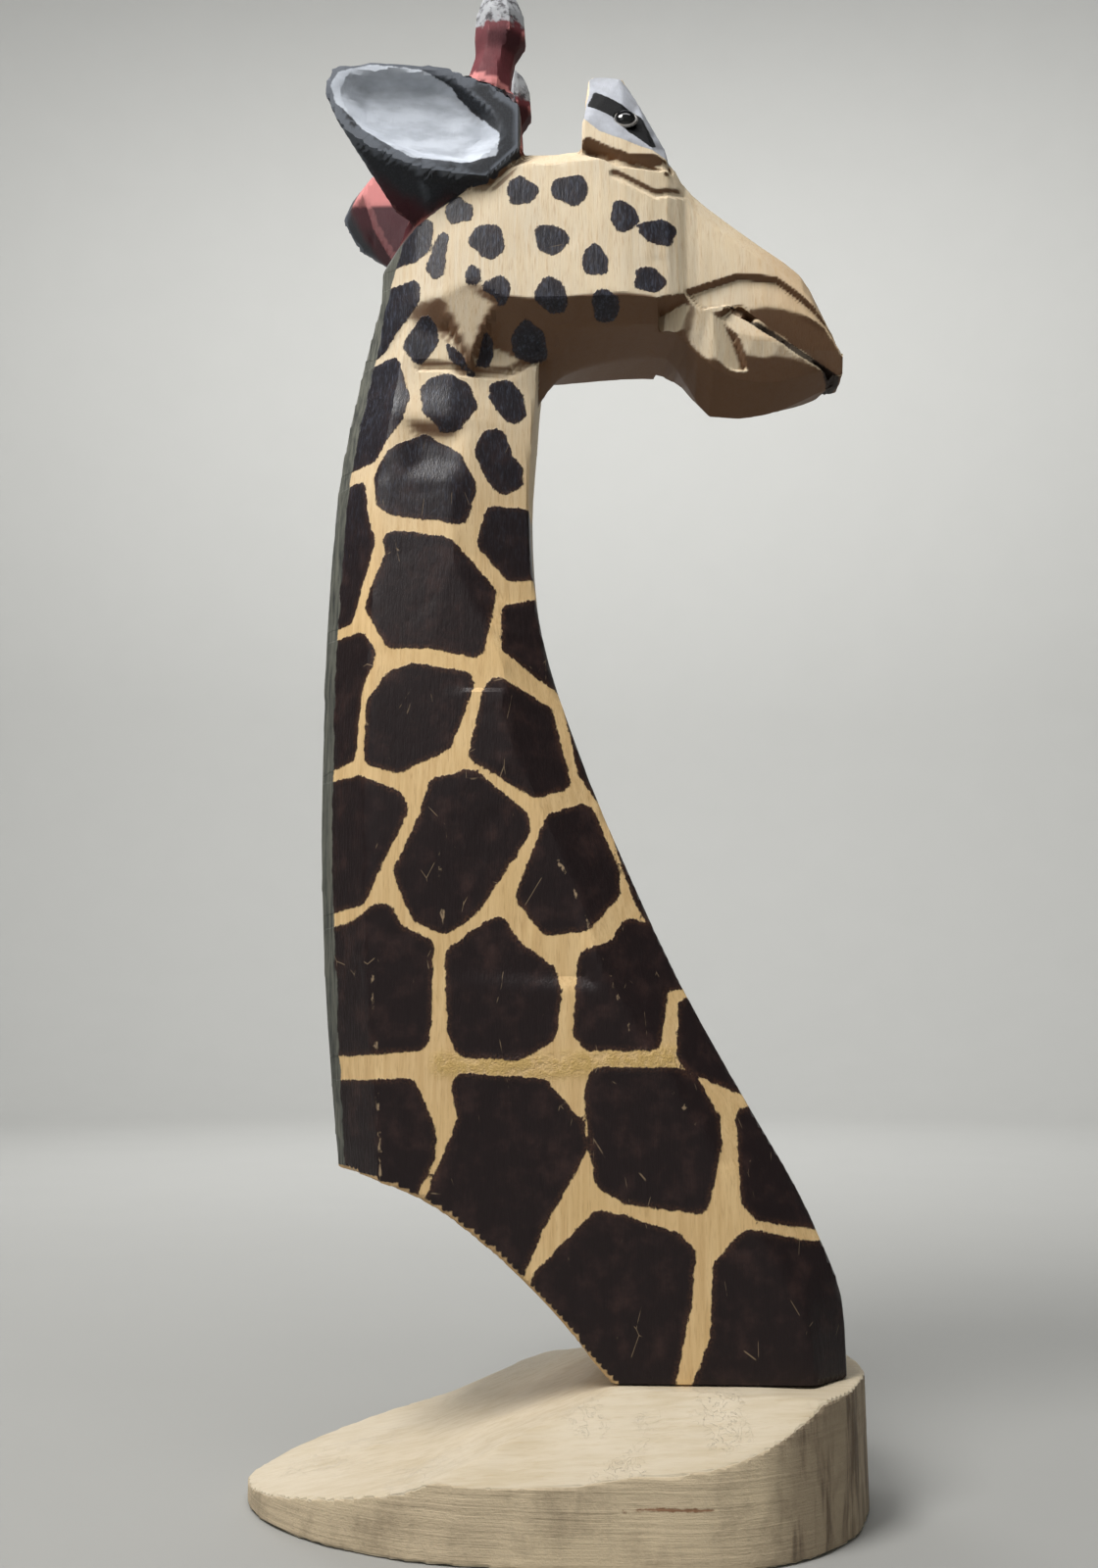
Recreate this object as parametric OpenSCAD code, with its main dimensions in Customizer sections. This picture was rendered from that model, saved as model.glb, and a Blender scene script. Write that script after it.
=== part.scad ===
// Carved giraffe bust on a carved block foot, sawn from one plank and faceted with a knife.
// Millimetres, +Z up. The origin is the centre of the base's underside, and the face looks towards +X.

/* [Neck] */
// Height of the neck from the foot to the throat
neck_h = 186; // [150:1:230]
// Thickness of the plank at the foot
plank_t = 35; // [29:1:44]
// Thickness of the flat strip that carries the mane
mane_t = 12; // [8:1:14]

/* [Head] */
// Length of the head, from the nape to the lip
head_l = 96.5; // [80:0.5:116]
// Width of the head over the cheeks
cheek_w = 34; // [28:1:41]
// Height of the head above the throat, up to the crown between brow and ears
crown_h = 58; // [49:1:69]
// Width of the mouth's saw kerf
mouth_kerf = 1.2; // [0.6:0.1:2]
// Depth of the mouth's saw kerf in each side of the lips
mouth_depth = 2.5; // [1:0.5:4]

/* [Ears and ossicones] */
// Length of the right ear
ear_l = 40.5; // [34:0.5:49]
// Length of the left ear, which is carved a little longer
ear_left_l = 45; // [34:0.5:54]
// Distance between the two ears' rims at their front end
ear_span = 36; // [32:1:43]
// Angle by which each ear opens outwards to the rear
ear_flare = 8; // [0:1:14]
// Depth of the hollow in each ear
ear_dish = 3.5; // [1:0.5:5]
// Height of each ossicone above the ear block
ossicone_h = 24; // [18:1:30]
// Distance between the ossicones' centre lines
ossicone_gap = 24; // [22:1:28]
// Width of each ossicone at its foot
ossicone_w = 11; // [9:0.5:12]

/* [Eyes] */
// Diameter of each bead eye
eye_d = 4.4; // [3.4:0.1:5.6]
// Height of the bead's straight side
eye_side = 1.9; // [1:0.1:2.6]
// Height of the bead's dome above its side
eye_dome = 1.5; // [0.8:0.1:2.2]
// Depth of the socket that the bead is glued into
eye_sink = 2; // [1:0.1:3]
// Gap round the bead in its socket
eye_clear = 0.05; // [0.02:0.01:0.1]

/* [Base] */
// Length of the base
base_l = 115; // [108:1:138]
// Width of the base
base_w = 70; // [58:1:84]
// Height of the base under the foot
base_h = 24; // [20:1:29]
// Height of the base at its thin end
tip_h = 3.5; // [2:0.5:6]
// Height of the base at the step between its two sloping top facets
step_h = 10.5; // [8:0.5:14]

/* [Fixings] */
// Diameter of the two wood screws
screw_d = 4; // [3:0.5:5]
// Length of each screw under the top of its head
screw_l = 44; // [36:1:53]
// Diameter of each screw's countersunk head
screw_head_d = 8; // [6.5:0.5:10]
// Depth by which each head is sunk below the underside
screw_sink = 1; // [0.5:0.5:2]
// Distance between the two screws
screw_gap = 22; // [18:1:26]
// Diameter of the locating dowel
dowel_d = 6; // [5:0.5:8]
// Length of the dowel, half of it in the base and half in the foot
dowel_l = 24; // [16:1:28]
// Gap round the screws and the dowel in their holes
fix_clear = 0.05; // [0.02:0.01:0.1]
// Room left past the end of the screws and the dowel in the foot
fix_room = 1; // [0.5:0.5:3]

/* [Hidden] */
$fn = 48;
EPS = 0.01;
// Overrun of a drill past the wood, and the size of a block of waste, longer than any piece.
OVERRUN = 5;
WASTE = 400;

wood = "#d9b97f";
base_wood = "#e3d2ae";
bead_black = "#101012";
steel = "#9a9da1";

// The foot's middle, where the dowel stands between the screws.
fix_x = 31;
screw_places = [fix_x - screw_gap / 2, fix_x + screw_gap / 2];
throat_z = base_h + neck_h;

// Drawn sizes that the rows below were laid out for.
NECK_DRAWN = 186;
PLANK_DRAWN = 35;
MANE_DRAWN = 12;
HEAD_DRAWN = 96.5;
CHEEK_DRAWN = 34;
CROWN_DRAWN = 58;
EAR_DRAWN = 40.5;
OSSICONE_DRAWN = 24;
OSSICONE_W_DRAWN = 12;
BASE_DRAWN = 115;

// Shares by which those rows are scaled.
neck_k = neck_h / NECK_DRAWN;
plank_k = plank_t / PLANK_DRAWN;
mane_k = mane_t / MANE_DRAWN;
head_k = head_l / HEAD_DRAWN;
cheek_k = cheek_w / CHEEK_DRAWN;
crown_k = crown_h / CROWN_DRAWN;
ossicone_k = ossicone_h / OSSICONE_DRAWN;
ossicone_w_k = ossicone_w / OSSICONE_W_DRAWN;
base_k = base_l / BASE_DRAWN;

// Neck, from the foot up: height, rear x, rear ridge x, front ridge x, front x, half thickness,
// half rear strip, half front face.
neck_rows = [
    [0, -42, -31, 46.5, 53, 17.5, 6, 11],
    [14, -42, -31, 44.5, 52.5, 17.5, 6, 11],
    [24, -41.5, -31, 38.5, 49, 17.5, 6, 11],
    [34, -40.8, -31, 33.5, 44.5, 17.5, 6, 10.5],
    [48, -42.3, -31.5, 25, 36.5, 17.5, 6, 10],
    [71, -44.5, -34, 10.5, 24, 17.5, 6, 9.5],
    [98, -46, -35, -1, 12, 17.5, 6, 9],
    [116, -46.2, -35.5, -7.5, 5, 17, 6, 9],
    [134, -46.4, -35.5, -11.5, -0.8, 16.5, 5.5, 8.5],
    [150, -46, -35, -18.5, -3.8, 15.5, 5.5, 8.5],
    [169, -45, -34.5, -20, -4.9, 14.8, 5.5, 8.5],
    [184, -43, -32.5, -20.5, -4, 14.2, 5, 8.5],
    [192, -41.5, -31.5, -20.5, -3.5, 13, 5, 8.5],
    [202, -39.5, -30, -20, -3, 13, 5, 8.5],
    [221, -35, -27, -18.5, -6, 13, 5, 8],
    [234, -31, -24, -16, -10, 12, 5, 7]
];

// Head, from the nape to the lip, with heights above the throat: x, top z, top edge y and z,
// upper cheek y and z, lower cheek y and z, jaw edge y and z, underside z.
head_rows = [
    [-36, 36, 5, 36, 8, 33, 9, 15, 6, 5, 4],
    [-28, 46, 9, 46, 14.5, 40, 14.5, 23, 12, 16, 4],
    [-20, 52, 12, 51.5, 16.5, 44.5, 16.5, 22.5, 13, 17, 2],
    [-13, 56, 12.5, 55.5, 17, 49.5, 17, 22.3, 13.5, 18, 0],
    [-6, 58, 13.5, 56.5, 17, 52, 17, 22, 13.5, 18, 1],
    [-3, 58, 13.5, 56.5, 17, 52, 17, 22, 13.5, 18, 7],
    [1, 58, 13.5, 56.5, 17, 52, 17, 22, 13.5, 18, 12.5],
    [6, 59, 13.5, 57, 17, 52.5, 17, 22, 13, 18, 15],
    [15, 60, 13, 57, 16.5, 53, 17, 21.5, 12.5, 18.5, 17],
    [24, 57, 12, 55.5, 14.5, 51, 15.5, 22.5, 12, 18, 17],
    [28, 52, 9.5, 51, 12, 46, 13, 25, 10, 15, 11],
    [33, 48, 9, 46, 11.5, 41, 12, 22, 10.5, 10, 3.5],
    [44, 40.5, 8, 37.5, 11, 32.5, 11.5, 21, 9, 8, 3.5],
    [52, 34.5, 7, 31.5, 10, 26.5, 10.5, 17, 8, 9, 6.5],
    [56, 27, 6, 24, 9, 20.5, 9.5, 15, 7, 10, 8.5],
    [60.5, 16.5, 4, 15, 7, 14, 7, 12, 5, 10.5, 10]
];

// Brow, as outlines in x and height above the throat.
brow_side = [[6.5, 58], [6.5, 62], [8, 63], [15, 58.5], [21, 55], [24, 51.5]];
brow_crest = [[6, 46], [8, 78], [15, 77.5], [18.5, 71], [24, 60], [27, 46]];
brow_dip = [[6, 46], [8, 74], [15, 73.5], [18.5, 68], [24, 59.5], [27, 46]];
brow_side_y = 16.3;
brow_crest_y = 9;

// Ear, as outlines in x, counted back from its front end, and height above the throat.
ear_front_x = -6.5;
ear_rim = [[40.5, 66], [38.5, 71], [29.5, 73], [16.5, 73], [6.5, 69.5], [0, 65],
    [0, 55.5], [6.5, 48.5], [20.5, 49.5], [30.5, 53.5], [37, 58.5]];
ear_back = [[34, 65], [32, 69], [26, 71], [16, 72], [7, 71], [0, 66],
    [0, 52], [7, 46], [17.5, 40], [25.5, 44], [31, 55]];
ear_back_y = 11;
ear_middle = [21, 62];
// The ear's hollow, from its mouth in, as shares of the rim's size and of the hollow's depth.
ear_hollow = [[0.84, -0.29], [0.8, 0.09], [0.6, 0.75], [0.3, 1]];

// Ear block that carries the ossicones, seen from the side.
block_side = [[-30, 44], [-25, 66], [-20, 71], [-8, 71], [-6.5, 66], [-6.5, 48], [-12, 44]];
block_half = 14;
block_top = 71;
saddle_r = 6.5;

// Ossicone, from its root up: height above the ear block, middle x, half length, half width.
ossicone_rows = [
    [-8, -14, 5, 3],
    [0, -14, 6, 5.6],
    [5, -13, 5.2, 5],
    [9, -12, 4.9, 4.8],
    [13, -11, 6.4, 6],
    [18, -11, 6, 5.8],
    [22, -11.2, 4.6, 4.4],
    [24, -11.4, 3, 3]
];

// Mouth line, from its corner to the lip, in x and height above the throat.
mouth_line = [[36, 22.2], [61, 8.2]];
mouth_taper = 3;
lip_side_y = 10.5;
lip_tip_x = 58;

// Eye's place on the sloping face between the brow's lower edge and its crest.
eye_x = 15.5;
eye_level = 0.28;

// Saw cut under the chest, in x and height above the foot.
arch_line = [
    [-60, 36], [-41, 36], [-30, 34], [-21, 30], [-12, 23.5], [-5, 17.5], [2, 10.5], [7, 4.5], [11, 0]
];
arch_end_x = arch_line[len(arch_line) - 1][0];

// Base's plan: radius of its round end, and its flank from the tip to that end, as shares of
// length and half width.
round_end_r = base_w / 2;
base_flank = [
    [0, 0], [0.025, 0.2], [0.085, 0.42], [0.18, 0.62], [0.305, 0.8],
    [0.47, 0.93], [0.66, 0.99], [0.82, 1], [1, 1]
];
// Where the step between the two top facets lies.
step_x = -24;
// Fall of the side facets on the -Y and +Y sides of the foot, as height per width.
right_fall = 0.636;
left_fall = 0.32;
// Where a side facet's upper edge crosses the line of the plank's side, and its angle to that line.
facet_x = 5;
facet_turn = 9.5;

// Height of a screw's countersunk head, at 90 degrees, and the width and depth of its cross recess.
head_cone_h = (screw_head_d - screw_d) / 2;
recess_w = 1;
recess_depth = 1.2;
// Diameter of a screw's point.
point_d = 0.6;

function spline(a, b, c, d, t) =
    0.5 * (2 * b + (c - a) * t + (2 * a - 5 * b + 4 * c - d) * t * t
        + (3 * b - a - 3 * c + d) * t * t * t);

// Rows with n - 1 smooth rows put in between each two.
function smooth_rows(rows, n) = [
    for (i = [0 : len(rows) - 2])
        for (k = [0 : n - 1])
            spline(rows[max(i - 1, 0)], rows[i], rows[i + 1], rows[min(i + 2, len(rows) - 1)], k / n),
    rows[len(rows) - 1]
];

function mirrored(half) = concat(half, [for (i = [len(half) - 1 : -1 : 0]) [half[i][0], -half[i][1]]]);

// Closed skin through rings that have the same number of points.
module loft(rings) {
    n = len(rings[0]);
    last = (len(rings) - 1) * n;
    sides = [
        for (r = [0 : len(rings) - 2])
            for (i = [0 : n - 1])
                let (j = (i + 1) % n, a = r * n)
                    each [[a + i, a + n + i, a + j], [a + j, a + n + i, a + n + j]]
    ];
    ends = [[for (i = [0 : n - 1]) i], [for (i = [n - 1 : -1 : 0]) last + i]];
    polyhedron(points = [for (ring = rings) each ring], faces = concat(ends, sides), convexity = 6);
}

// Extrudes an outline drawn in x and z across the plank, between two values of y.
module across(y0, y1) {
    translate([0, y1, 0])
        rotate([90, 0, 0])
            linear_extrude(y1 - y0)
                children();
}

// A neck row as a ring of eight corners at its height.
function neck_ring(row) =
    let (
        z = base_h + row[0] * neck_k,
        half = [
            [row[1], -row[6] * mane_k],
            [row[2], -row[5] * plank_k],
            [row[3], -row[5] * plank_k],
            [row[4], -row[7] * plank_k]
        ],
        other = [for (i = [3 : -1 : 0]) [half[i][0], -half[i][1]]]
    )
    [for (p = concat(half, other)) [p[0], p[1], z]];

module neck() {
    loft([for (row = smooth_rows(neck_rows, 3)) neck_ring(row)]);
}

// A head row as a ring of ten corners in the plane across the head.
function head_ring(row) =
    let (
        x = row[0] * head_k,
        right = [for (i = [2 : 2 : 8]) [-row[i] * cheek_k, row[i + 1] * crown_k]],
        left = [for (i = [3 : -1 : 0]) [-right[i][0], right[i][1]]],
        ring = concat([[0, row[1] * crown_k]], right, [[0, row[10] * crown_k]], left)
    )
    [for (p = ring) [x, p[0], throat_z + p[1]]];

module head() {
    loft([for (row = smooth_rows(head_rows, 2)) head_ring(row)]);
}

// A side outline as a ring at y, scaled with the head.
function side_ring(outline, y) = [
    for (p = outline) [p[0] * head_k, y * cheek_k, throat_z + p[1] * crown_k]
];

module brow() {
    loft([
        side_ring(brow_side, -brow_side_y),
        side_ring(brow_crest, -brow_crest_y),
        side_ring(brow_dip, 0),
        side_ring(brow_crest, brow_crest_y),
        side_ring(brow_side, brow_side_y)
    ]);
}

function ear_rim_y(back) = ear_span / 2 + back * tan(ear_flare);

// An ear outline as a ring: flared to the rim's slant when rim is true, else flat at the ear's back.
function ear_ring(outline, rim, length, shrink = 1, sink = 0) = [
    for (p = outline)
        let (
            back = (ear_middle[0] + (p[0] - ear_middle[0]) * shrink) * length / EAR_DRAWN,
            up = ear_middle[1] + (p[1] - ear_middle[1]) * shrink,
            side = rim ? ear_rim_y(back) - sink : ear_back_y * cheek_k
        )
        [ear_front_x * head_k - back, -side, throat_z + up * crown_k]
];

// The ear on the -Y side.
module ear(length) {
    difference() {
        loft([ear_ring(ear_rim, true, length), ear_ring(ear_back, false, length)]);
        loft([for (hollow = ear_hollow) ear_ring(ear_rim, true, length, hollow[0], hollow[1] * ear_dish)]);
    }
}

module ear_block() {
    difference() {
        loft([side_ring(block_side, -block_half), side_ring(block_side, block_half)]);
        translate([-WASTE / 2, 0, throat_z + block_top * crown_k])
            rotate([0, 90, 0])
                cylinder(r = saddle_r, h = WASTE);
    }
}

// An ossicone row as a ring of eight corners.
function ossicone_ring(row) =
    let (
        z = throat_z + block_top * crown_k + row[0] * ossicone_k,
        w = ossicone_w_k
    )
    [for (a = [22.5 : 45 : 359]) [row[1] * head_k + row[2] * w * cos(a), row[3] * w * sin(a), z]];

module ossicone() {
    loft([for (row = ossicone_rows) ossicone_ring(row)]);
}

module mouth_cuts() {
    half_kerf = mouth_kerf / 2;
    line = [for (p = mouth_line) [p[0] * head_k, throat_z + p[1] * crown_k]];
    outline = [
        line[0],
        [line[1][0], line[1][1] - half_kerf],
        [line[1][0], line[1][1] + half_kerf],
        [line[0][0] + mouth_taper, line[0][1] + half_kerf]
    ];
    both_sides()
        across(lip_side_y * cheek_k - mouth_depth, cheek_w)
            polygon(outline);
    intersection() {
        across(-cheek_w, cheek_w)
            polygon(outline);
        translate([lip_tip_x * head_k, -WASTE / 2, 0])
            cube(WASTE);
    }
}

// Carries its children from the bead's own frame, +Z out of the brow, on to the right brow.
module at_right_eye() {
    low = [brow_side[3][0] * head_k, -brow_side_y * cheek_k, brow_side[3][1] * crown_k];
    high = [brow_crest[2][0] * head_k, -brow_crest_y * cheek_k, brow_crest[2][1] * crown_k];
    lean = atan2(high[1] - low[1], high[2] - low[2]);
    spot = low + (high - low) * eye_level;
    translate([eye_x * head_k, spot[1], throat_z + spot[2]])
        rotate([90 - lean, 0, 0])
            children();
}

module both_sides() {
    children();
    mirror([0, 1, 0])
        children();
}

module overhang_cut() {
    points = [for (p = smooth_rows(arch_line, 3)) [p[0], base_h + p[1] * neck_k]];
    across(-plank_t, plank_t)
        polygon(concat(points, [[arch_end_x, 0], [arch_line[0][0], 0]]));
}

module foot_holes() {
    for (x = screw_places)
        translate([x, 0, base_h - EPS])
            cylinder(d = screw_d + 2 * fix_clear, h = screw_sink + screw_l - base_h + fix_room + EPS);
    translate([fix_x, 0, base_h - EPS])
        cylinder(d = dowel_d + 2 * fix_clear, h = dowel_l / 2 + fix_room + EPS);
}

module neck_head() {
    color(wood)
        difference() {
            union() {
                neck();
                head();
                brow();
                ear_block();
                ear(ear_l);
                mirror([0, 1, 0])
                    ear(ear_left_l);
                both_sides()
                    translate([0, ossicone_gap / 2, 0])
                        ossicone();
            }
            overhang_cut();
            mouth_cuts();
            foot_holes();
            both_sides()
                at_right_eye()
                    translate([0, 0, -eye_sink])
                        cylinder(d = eye_d + 2 * eye_clear, h = eye_sink + OVERRUN);
        }
}

// A bead with a flat back on the socket's floor and a domed front.
module bead() {
    color(bead_black)
        at_right_eye()
            translate([0, 0, -eye_sink])
                rotate_extrude()
                    intersection() {
                        union() {
                            square([eye_d / 2, eye_side]);
                            translate([0, eye_side + eye_dome - dome_r()])
                                circle(r = dome_r());
                        }
                        square([eye_d / 2, eye_side + eye_dome]);
                    }
}

function dome_r() = (pow(eye_d / 2, 2) + pow(eye_dome, 2)) / (2 * eye_dome);

module eye_right() {
    bead();
}

module eye_left() {
    mirror([0, 1, 0])
        bead();
}

// The base from above: a blunt tip, flanks that swell to full width, and a round end.
module base_plan() {
    end_x = base_l / 2 - round_end_r;
    flank = [for (p = base_flank) [end_x + (p[0] - 1) * (base_l - round_end_r), p[1] * base_w / 2]];
    end = [for (a = [82.5 : -7.5 : 0]) [end_x + round_end_r * cos(a), round_end_r * sin(a)]];
    polygon(mirrored(concat(smooth_rows(flank, 3), end)));
}

// The base from the side: two facets that climb from the tip over the step to the foot.
module base_side() {
    polygon([
        [-base_l / 2, 0],
        [-base_l / 2, tip_h],
        [step_x * base_k, step_h],
        [arch_end_x, base_h],
        [base_l / 2, base_h],
        [base_l / 2, 0]
    ]);
}

// Waste above a side facet, for the -Y side: its underside leaves the foot at the plank's edge and
// falls outwards.
module side_waste(fall) {
    translate([facet_x, -plank_t / 2, base_h])
        rotate([0, 0, -facet_turn])
            rotate([atan(fall), 0, 0])
                translate([-WASTE / 2, -WASTE, 0])
                    cube(WASTE);
}

module base() {
    color(base_wood)
        difference() {
            intersection() {
                linear_extrude(base_h)
                    base_plan();
                across(-base_w, base_w)
                    base_side();
            }
            side_waste(right_fall);
            mirror([0, 1, 0])
                side_waste(left_fall);
            for (x = screw_places)
                translate([x, 0, 0]) {
                    translate([0, 0, -EPS])
                        cylinder(d = screw_head_d, h = screw_sink + EPS);
                    translate([0, 0, screw_sink])
                        cylinder(d1 = screw_head_d, d2 = screw_d, h = head_cone_h);
                    cylinder(d = screw_d + 2 * fix_clear, h = base_h + EPS);
                }
            translate([fix_x, 0, base_h - dowel_l / 2])
                cylinder(d = dowel_d + 2 * fix_clear, h = dowel_l);
        }
}

// A countersunk wood screw, head down, with a cross recess and a pointed end.
module screw() {
    tip = screw_d;
    color(steel)
        difference() {
            union() {
                cylinder(d1 = screw_head_d, d2 = screw_d, h = head_cone_h);
                cylinder(d = screw_d, h = screw_l - tip);
                translate([0, 0, screw_l - tip])
                    cylinder(d1 = screw_d, d2 = point_d, h = tip);
            }
            for (a = [0, 90])
                rotate([0, 0, a])
                    translate([-screw_head_d / 4, -recess_w / 2, -EPS])
                        cube([screw_head_d / 2, recess_w, recess_depth + EPS]);
        }
}

module screw_rear() {
    translate([screw_places[0], 0, screw_sink])
        screw();
}

module screw_front() {
    translate([screw_places[1], 0, screw_sink])
        screw();
}

module dowel() {
    color(wood)
        translate([fix_x, 0, base_h - dowel_l / 2])
            cylinder(d = dowel_d, h = dowel_l);
}

neck_head();
base();
eye_right();
eye_left();
screw_front();
screw_rear();
dowel();
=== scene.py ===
"""Carved and painted giraffe bust on a carved block foot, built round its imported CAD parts."""

import math

import bmesh
import bpy
import numpy as np
from bpy.props import FloatProperty, FloatVectorProperty, IntProperty, PointerProperty
from mathutils import Matrix, Vector
from mathutils.bvhtree import BVHTree


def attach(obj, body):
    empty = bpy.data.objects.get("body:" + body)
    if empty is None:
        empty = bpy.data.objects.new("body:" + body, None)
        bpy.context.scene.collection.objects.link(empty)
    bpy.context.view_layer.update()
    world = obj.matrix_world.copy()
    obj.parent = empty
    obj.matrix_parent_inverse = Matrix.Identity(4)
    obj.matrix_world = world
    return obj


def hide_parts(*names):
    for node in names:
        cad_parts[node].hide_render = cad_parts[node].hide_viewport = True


bl_info = {
    "name": "Carved Giraffe",
    "version": (1, 0, 0),
    "blender": (4, 5, 0),
    "location": "View3D > Sidebar > Giraffe",
    "description": "Carves, paints and mounts a giraffe bust on its block foot",
    "category": "Add Mesh",
}

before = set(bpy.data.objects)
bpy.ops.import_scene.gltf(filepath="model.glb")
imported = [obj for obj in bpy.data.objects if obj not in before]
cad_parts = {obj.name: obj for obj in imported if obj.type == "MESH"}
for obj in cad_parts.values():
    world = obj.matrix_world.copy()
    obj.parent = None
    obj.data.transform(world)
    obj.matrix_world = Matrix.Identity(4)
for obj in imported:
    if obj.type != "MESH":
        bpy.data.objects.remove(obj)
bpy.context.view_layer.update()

MM = 0.001
WELD = 1e-6
FAR = 99.0
RIGHT, LEFT = -1, 1
# Faces that meet at more than this shade as two planes.
KNIFE_EDGE = math.radians(17)


# Outlines of the painting and the carving, as x and z in millimetres on the right side.

# Dark patches, from the nape down to the foot. Those on the rear and front edges run past the wood.
NECK_PATCHES = [
    [(-35, 252), (-24, 251), (-25, 244), (-28, 242), (-36, 243)],
    [(-23, 248), (-21, 247), (-22, 238), (-24, 237), (-26, 240)],
    [(-40, 239), (-27, 238), (-27, 233), (-33, 227), (-35, 224), (-42, 225)],
    [(-26, 231), (-24, 229), (-23, 225), (-25, 222), (-27, 219), (-31, 224), (-28, 229)],
    [(-22, 225), (-20, 224), (-16, 218), (-21, 221)],
    [(-16, 220), (-13, 227), (-12, 223), (-13, 220)],
    [(-8.5, 227), (-5, 229), (-1.5, 227), (-1, 224), (-4, 222), (-8, 223)],
    [(-25, 217), (-21, 218), (-17, 216), (-15, 211), (-19, 205), (-22, 205), (-26, 209), (-27, 215)],
    [(-13, 217), (-9, 218), (-6, 215), (-5, 210), (-8, 208), (-10, 209), (-13, 213)],
    [(-42, 222), (-32, 223), (-29, 213), (-30, 208), (-36, 199), (-47, 199)],
    [
        (-26, 205), (-19, 201), (-15, 194), (-17, 185), (-20, 185), (-32, 187), (-35, 189), (-36, 196),
        (-33, 201),
    ],
    [(-14, 206), (-10, 207), (-8, 201), (-6, 199), (-6, 195), (-10, 192), (-13, 195), (-16, 201)],
    [(-48, 195), (-38, 196), (-37, 188), (-35, 181), (-40, 165), (-50, 166)],
    [
        (-34, 184), (-20, 182), (-11, 172), (-13, 158), (-15, 157), (-24, 159), (-32, 159), (-37, 168),
        (-33, 179),
    ],
    [(-13, 190), (2, 190), (3, 176), (-4, 175), (-9, 174), (-15, 181), (-14, 186)],
    [(-10, 169), (-3, 171), (6, 171), (8, 151), (2, 151), (-3, 154), (-10, 159)],
    [(-50, 163), (-37, 163), (-34, 158), (-37, 150), (-38, 137), (-50, 135)],
    [(-32, 154), (-27, 156), (-15, 154), (-15, 151), (-19, 139), (-29, 134), (-36, 136), (-36, 148)],
    [(-11, 154), (-2, 149), (0, 148), (4, 132), (-3, 129), (-8, 132), (-16, 137), (-13, 151)],
    [(2, 149), (12, 151), (20, 128), (9, 129), (5, 135)],
    [(-50, 134), (-37, 134), (-28, 130), (-27, 127), (-33, 114), (-35, 109), (-50, 107)],
    [
        (-23, 133), (-15, 135), (-4, 126), (-4, 122), (-14, 107), (-20, 103), (-26, 106), (-30, 115),
        (-25, 126),
    ],
    [(-1, 126), (6, 129), (8, 128), (13, 116), (13, 111), (7, 104), (-1, 103), (-7, 110), (-2, 123)],
    [(11, 127), (24, 126), (34, 103), (19, 105), (16, 109), (12, 121)],
    [(-50, 104), (-38, 106), (-33, 109), (-30, 109), (-28, 105), (-22, 102), (-22, 87), (-23, 82), (-50, 80)],
    [(-9, 107), (-6, 102), (1, 97), (2, 92), (1, 84), (-6, 80), (-17, 81), (-19, 85), (-20, 100), (-12, 106)],
    [(5, 100), (11, 102), (14, 107), (30, 103), (32, 94), (22, 93), (20, 82), (6, 82), (4, 85)],
    [(24, 92), (36, 91), (48, 74), (35, 74), (25, 78), (23, 81)],
    [(-50, 76), (-25, 77), (-21, 68), (-21, 63), (-27, 50), (-50, 50)],
    [(-19, 78), (-1, 77), (6, 69), (7, 65), (-1, 51), (-8, 36), (-26, 48), (-17, 70)],
    [(7, 79), (23, 79), (27, 77), (31, 70), (31, 65), (28, 53), (13, 55), (8, 58), (6, 74)],
    [(34, 73), (38, 71), (56, 66), (64, 49), (47, 50), (37, 52), (34, 55)],
    [(8, 54), (13, 53), (23, 50), (26, 47), (25, 38), (21, 20), (8, 20), (-4, 40), (-3, 43)],
    [(35, 51), (47, 48), (64, 46), (64, 20), (23, 20), (28, 32), (29, 45)],
]
# Spots on the cheek: x, z, half width, half height.
HEAD_SPOTS = [
    (-19, 252, 2.8, 3), (-6, 256, 3, 3.4), (4, 256, 3.6, 3.6), (15, 250, 3, 3.3), (22, 247, 3.6, 3.1),
    (-13, 245, 3.7, 3.8), (0, 245, 3.3, 3.5), (9, 240, 2.8, 3.4), (20, 236, 3, 3.1), (-16, 237, 1.7, 2.4),
    (-11, 234, 2.7, 3.2), (0, 233, 3.1, 3.6), (11, 231, 2.9, 2.5),
]
# The gouged hollow behind the jaw, which is left bare.
JAW_HOLLOW = [
    (-23, 234.5), (-15.7, 235.6), (-10.5, 232), (-13.5, 226.5), (-15.8, 222), (-16.8, 218.6), (-18.8, 223.4),
    (-21.3, 229),
]
EAR_HOLLOW = [
    (-45, 277), (-43.5, 280), (-37, 282), (-26, 281.5), (-21, 279), (-18, 276), (-10.5, 268.5), (-11, 263),
    (-18, 261), (-28.5, 261.5), (-38, 267), (-44, 273),
]
# Edge of the right ear's flat rim.
EAR_RIM = [
    (-47, 276), (-45, 281), (-36, 283.2), (-23, 283.2), (-13, 280), (-6.3, 275.5), (-6.3, 265), (-13, 258),
    (-27, 259), (-37, 263), (-44, 268.5),
]
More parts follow.
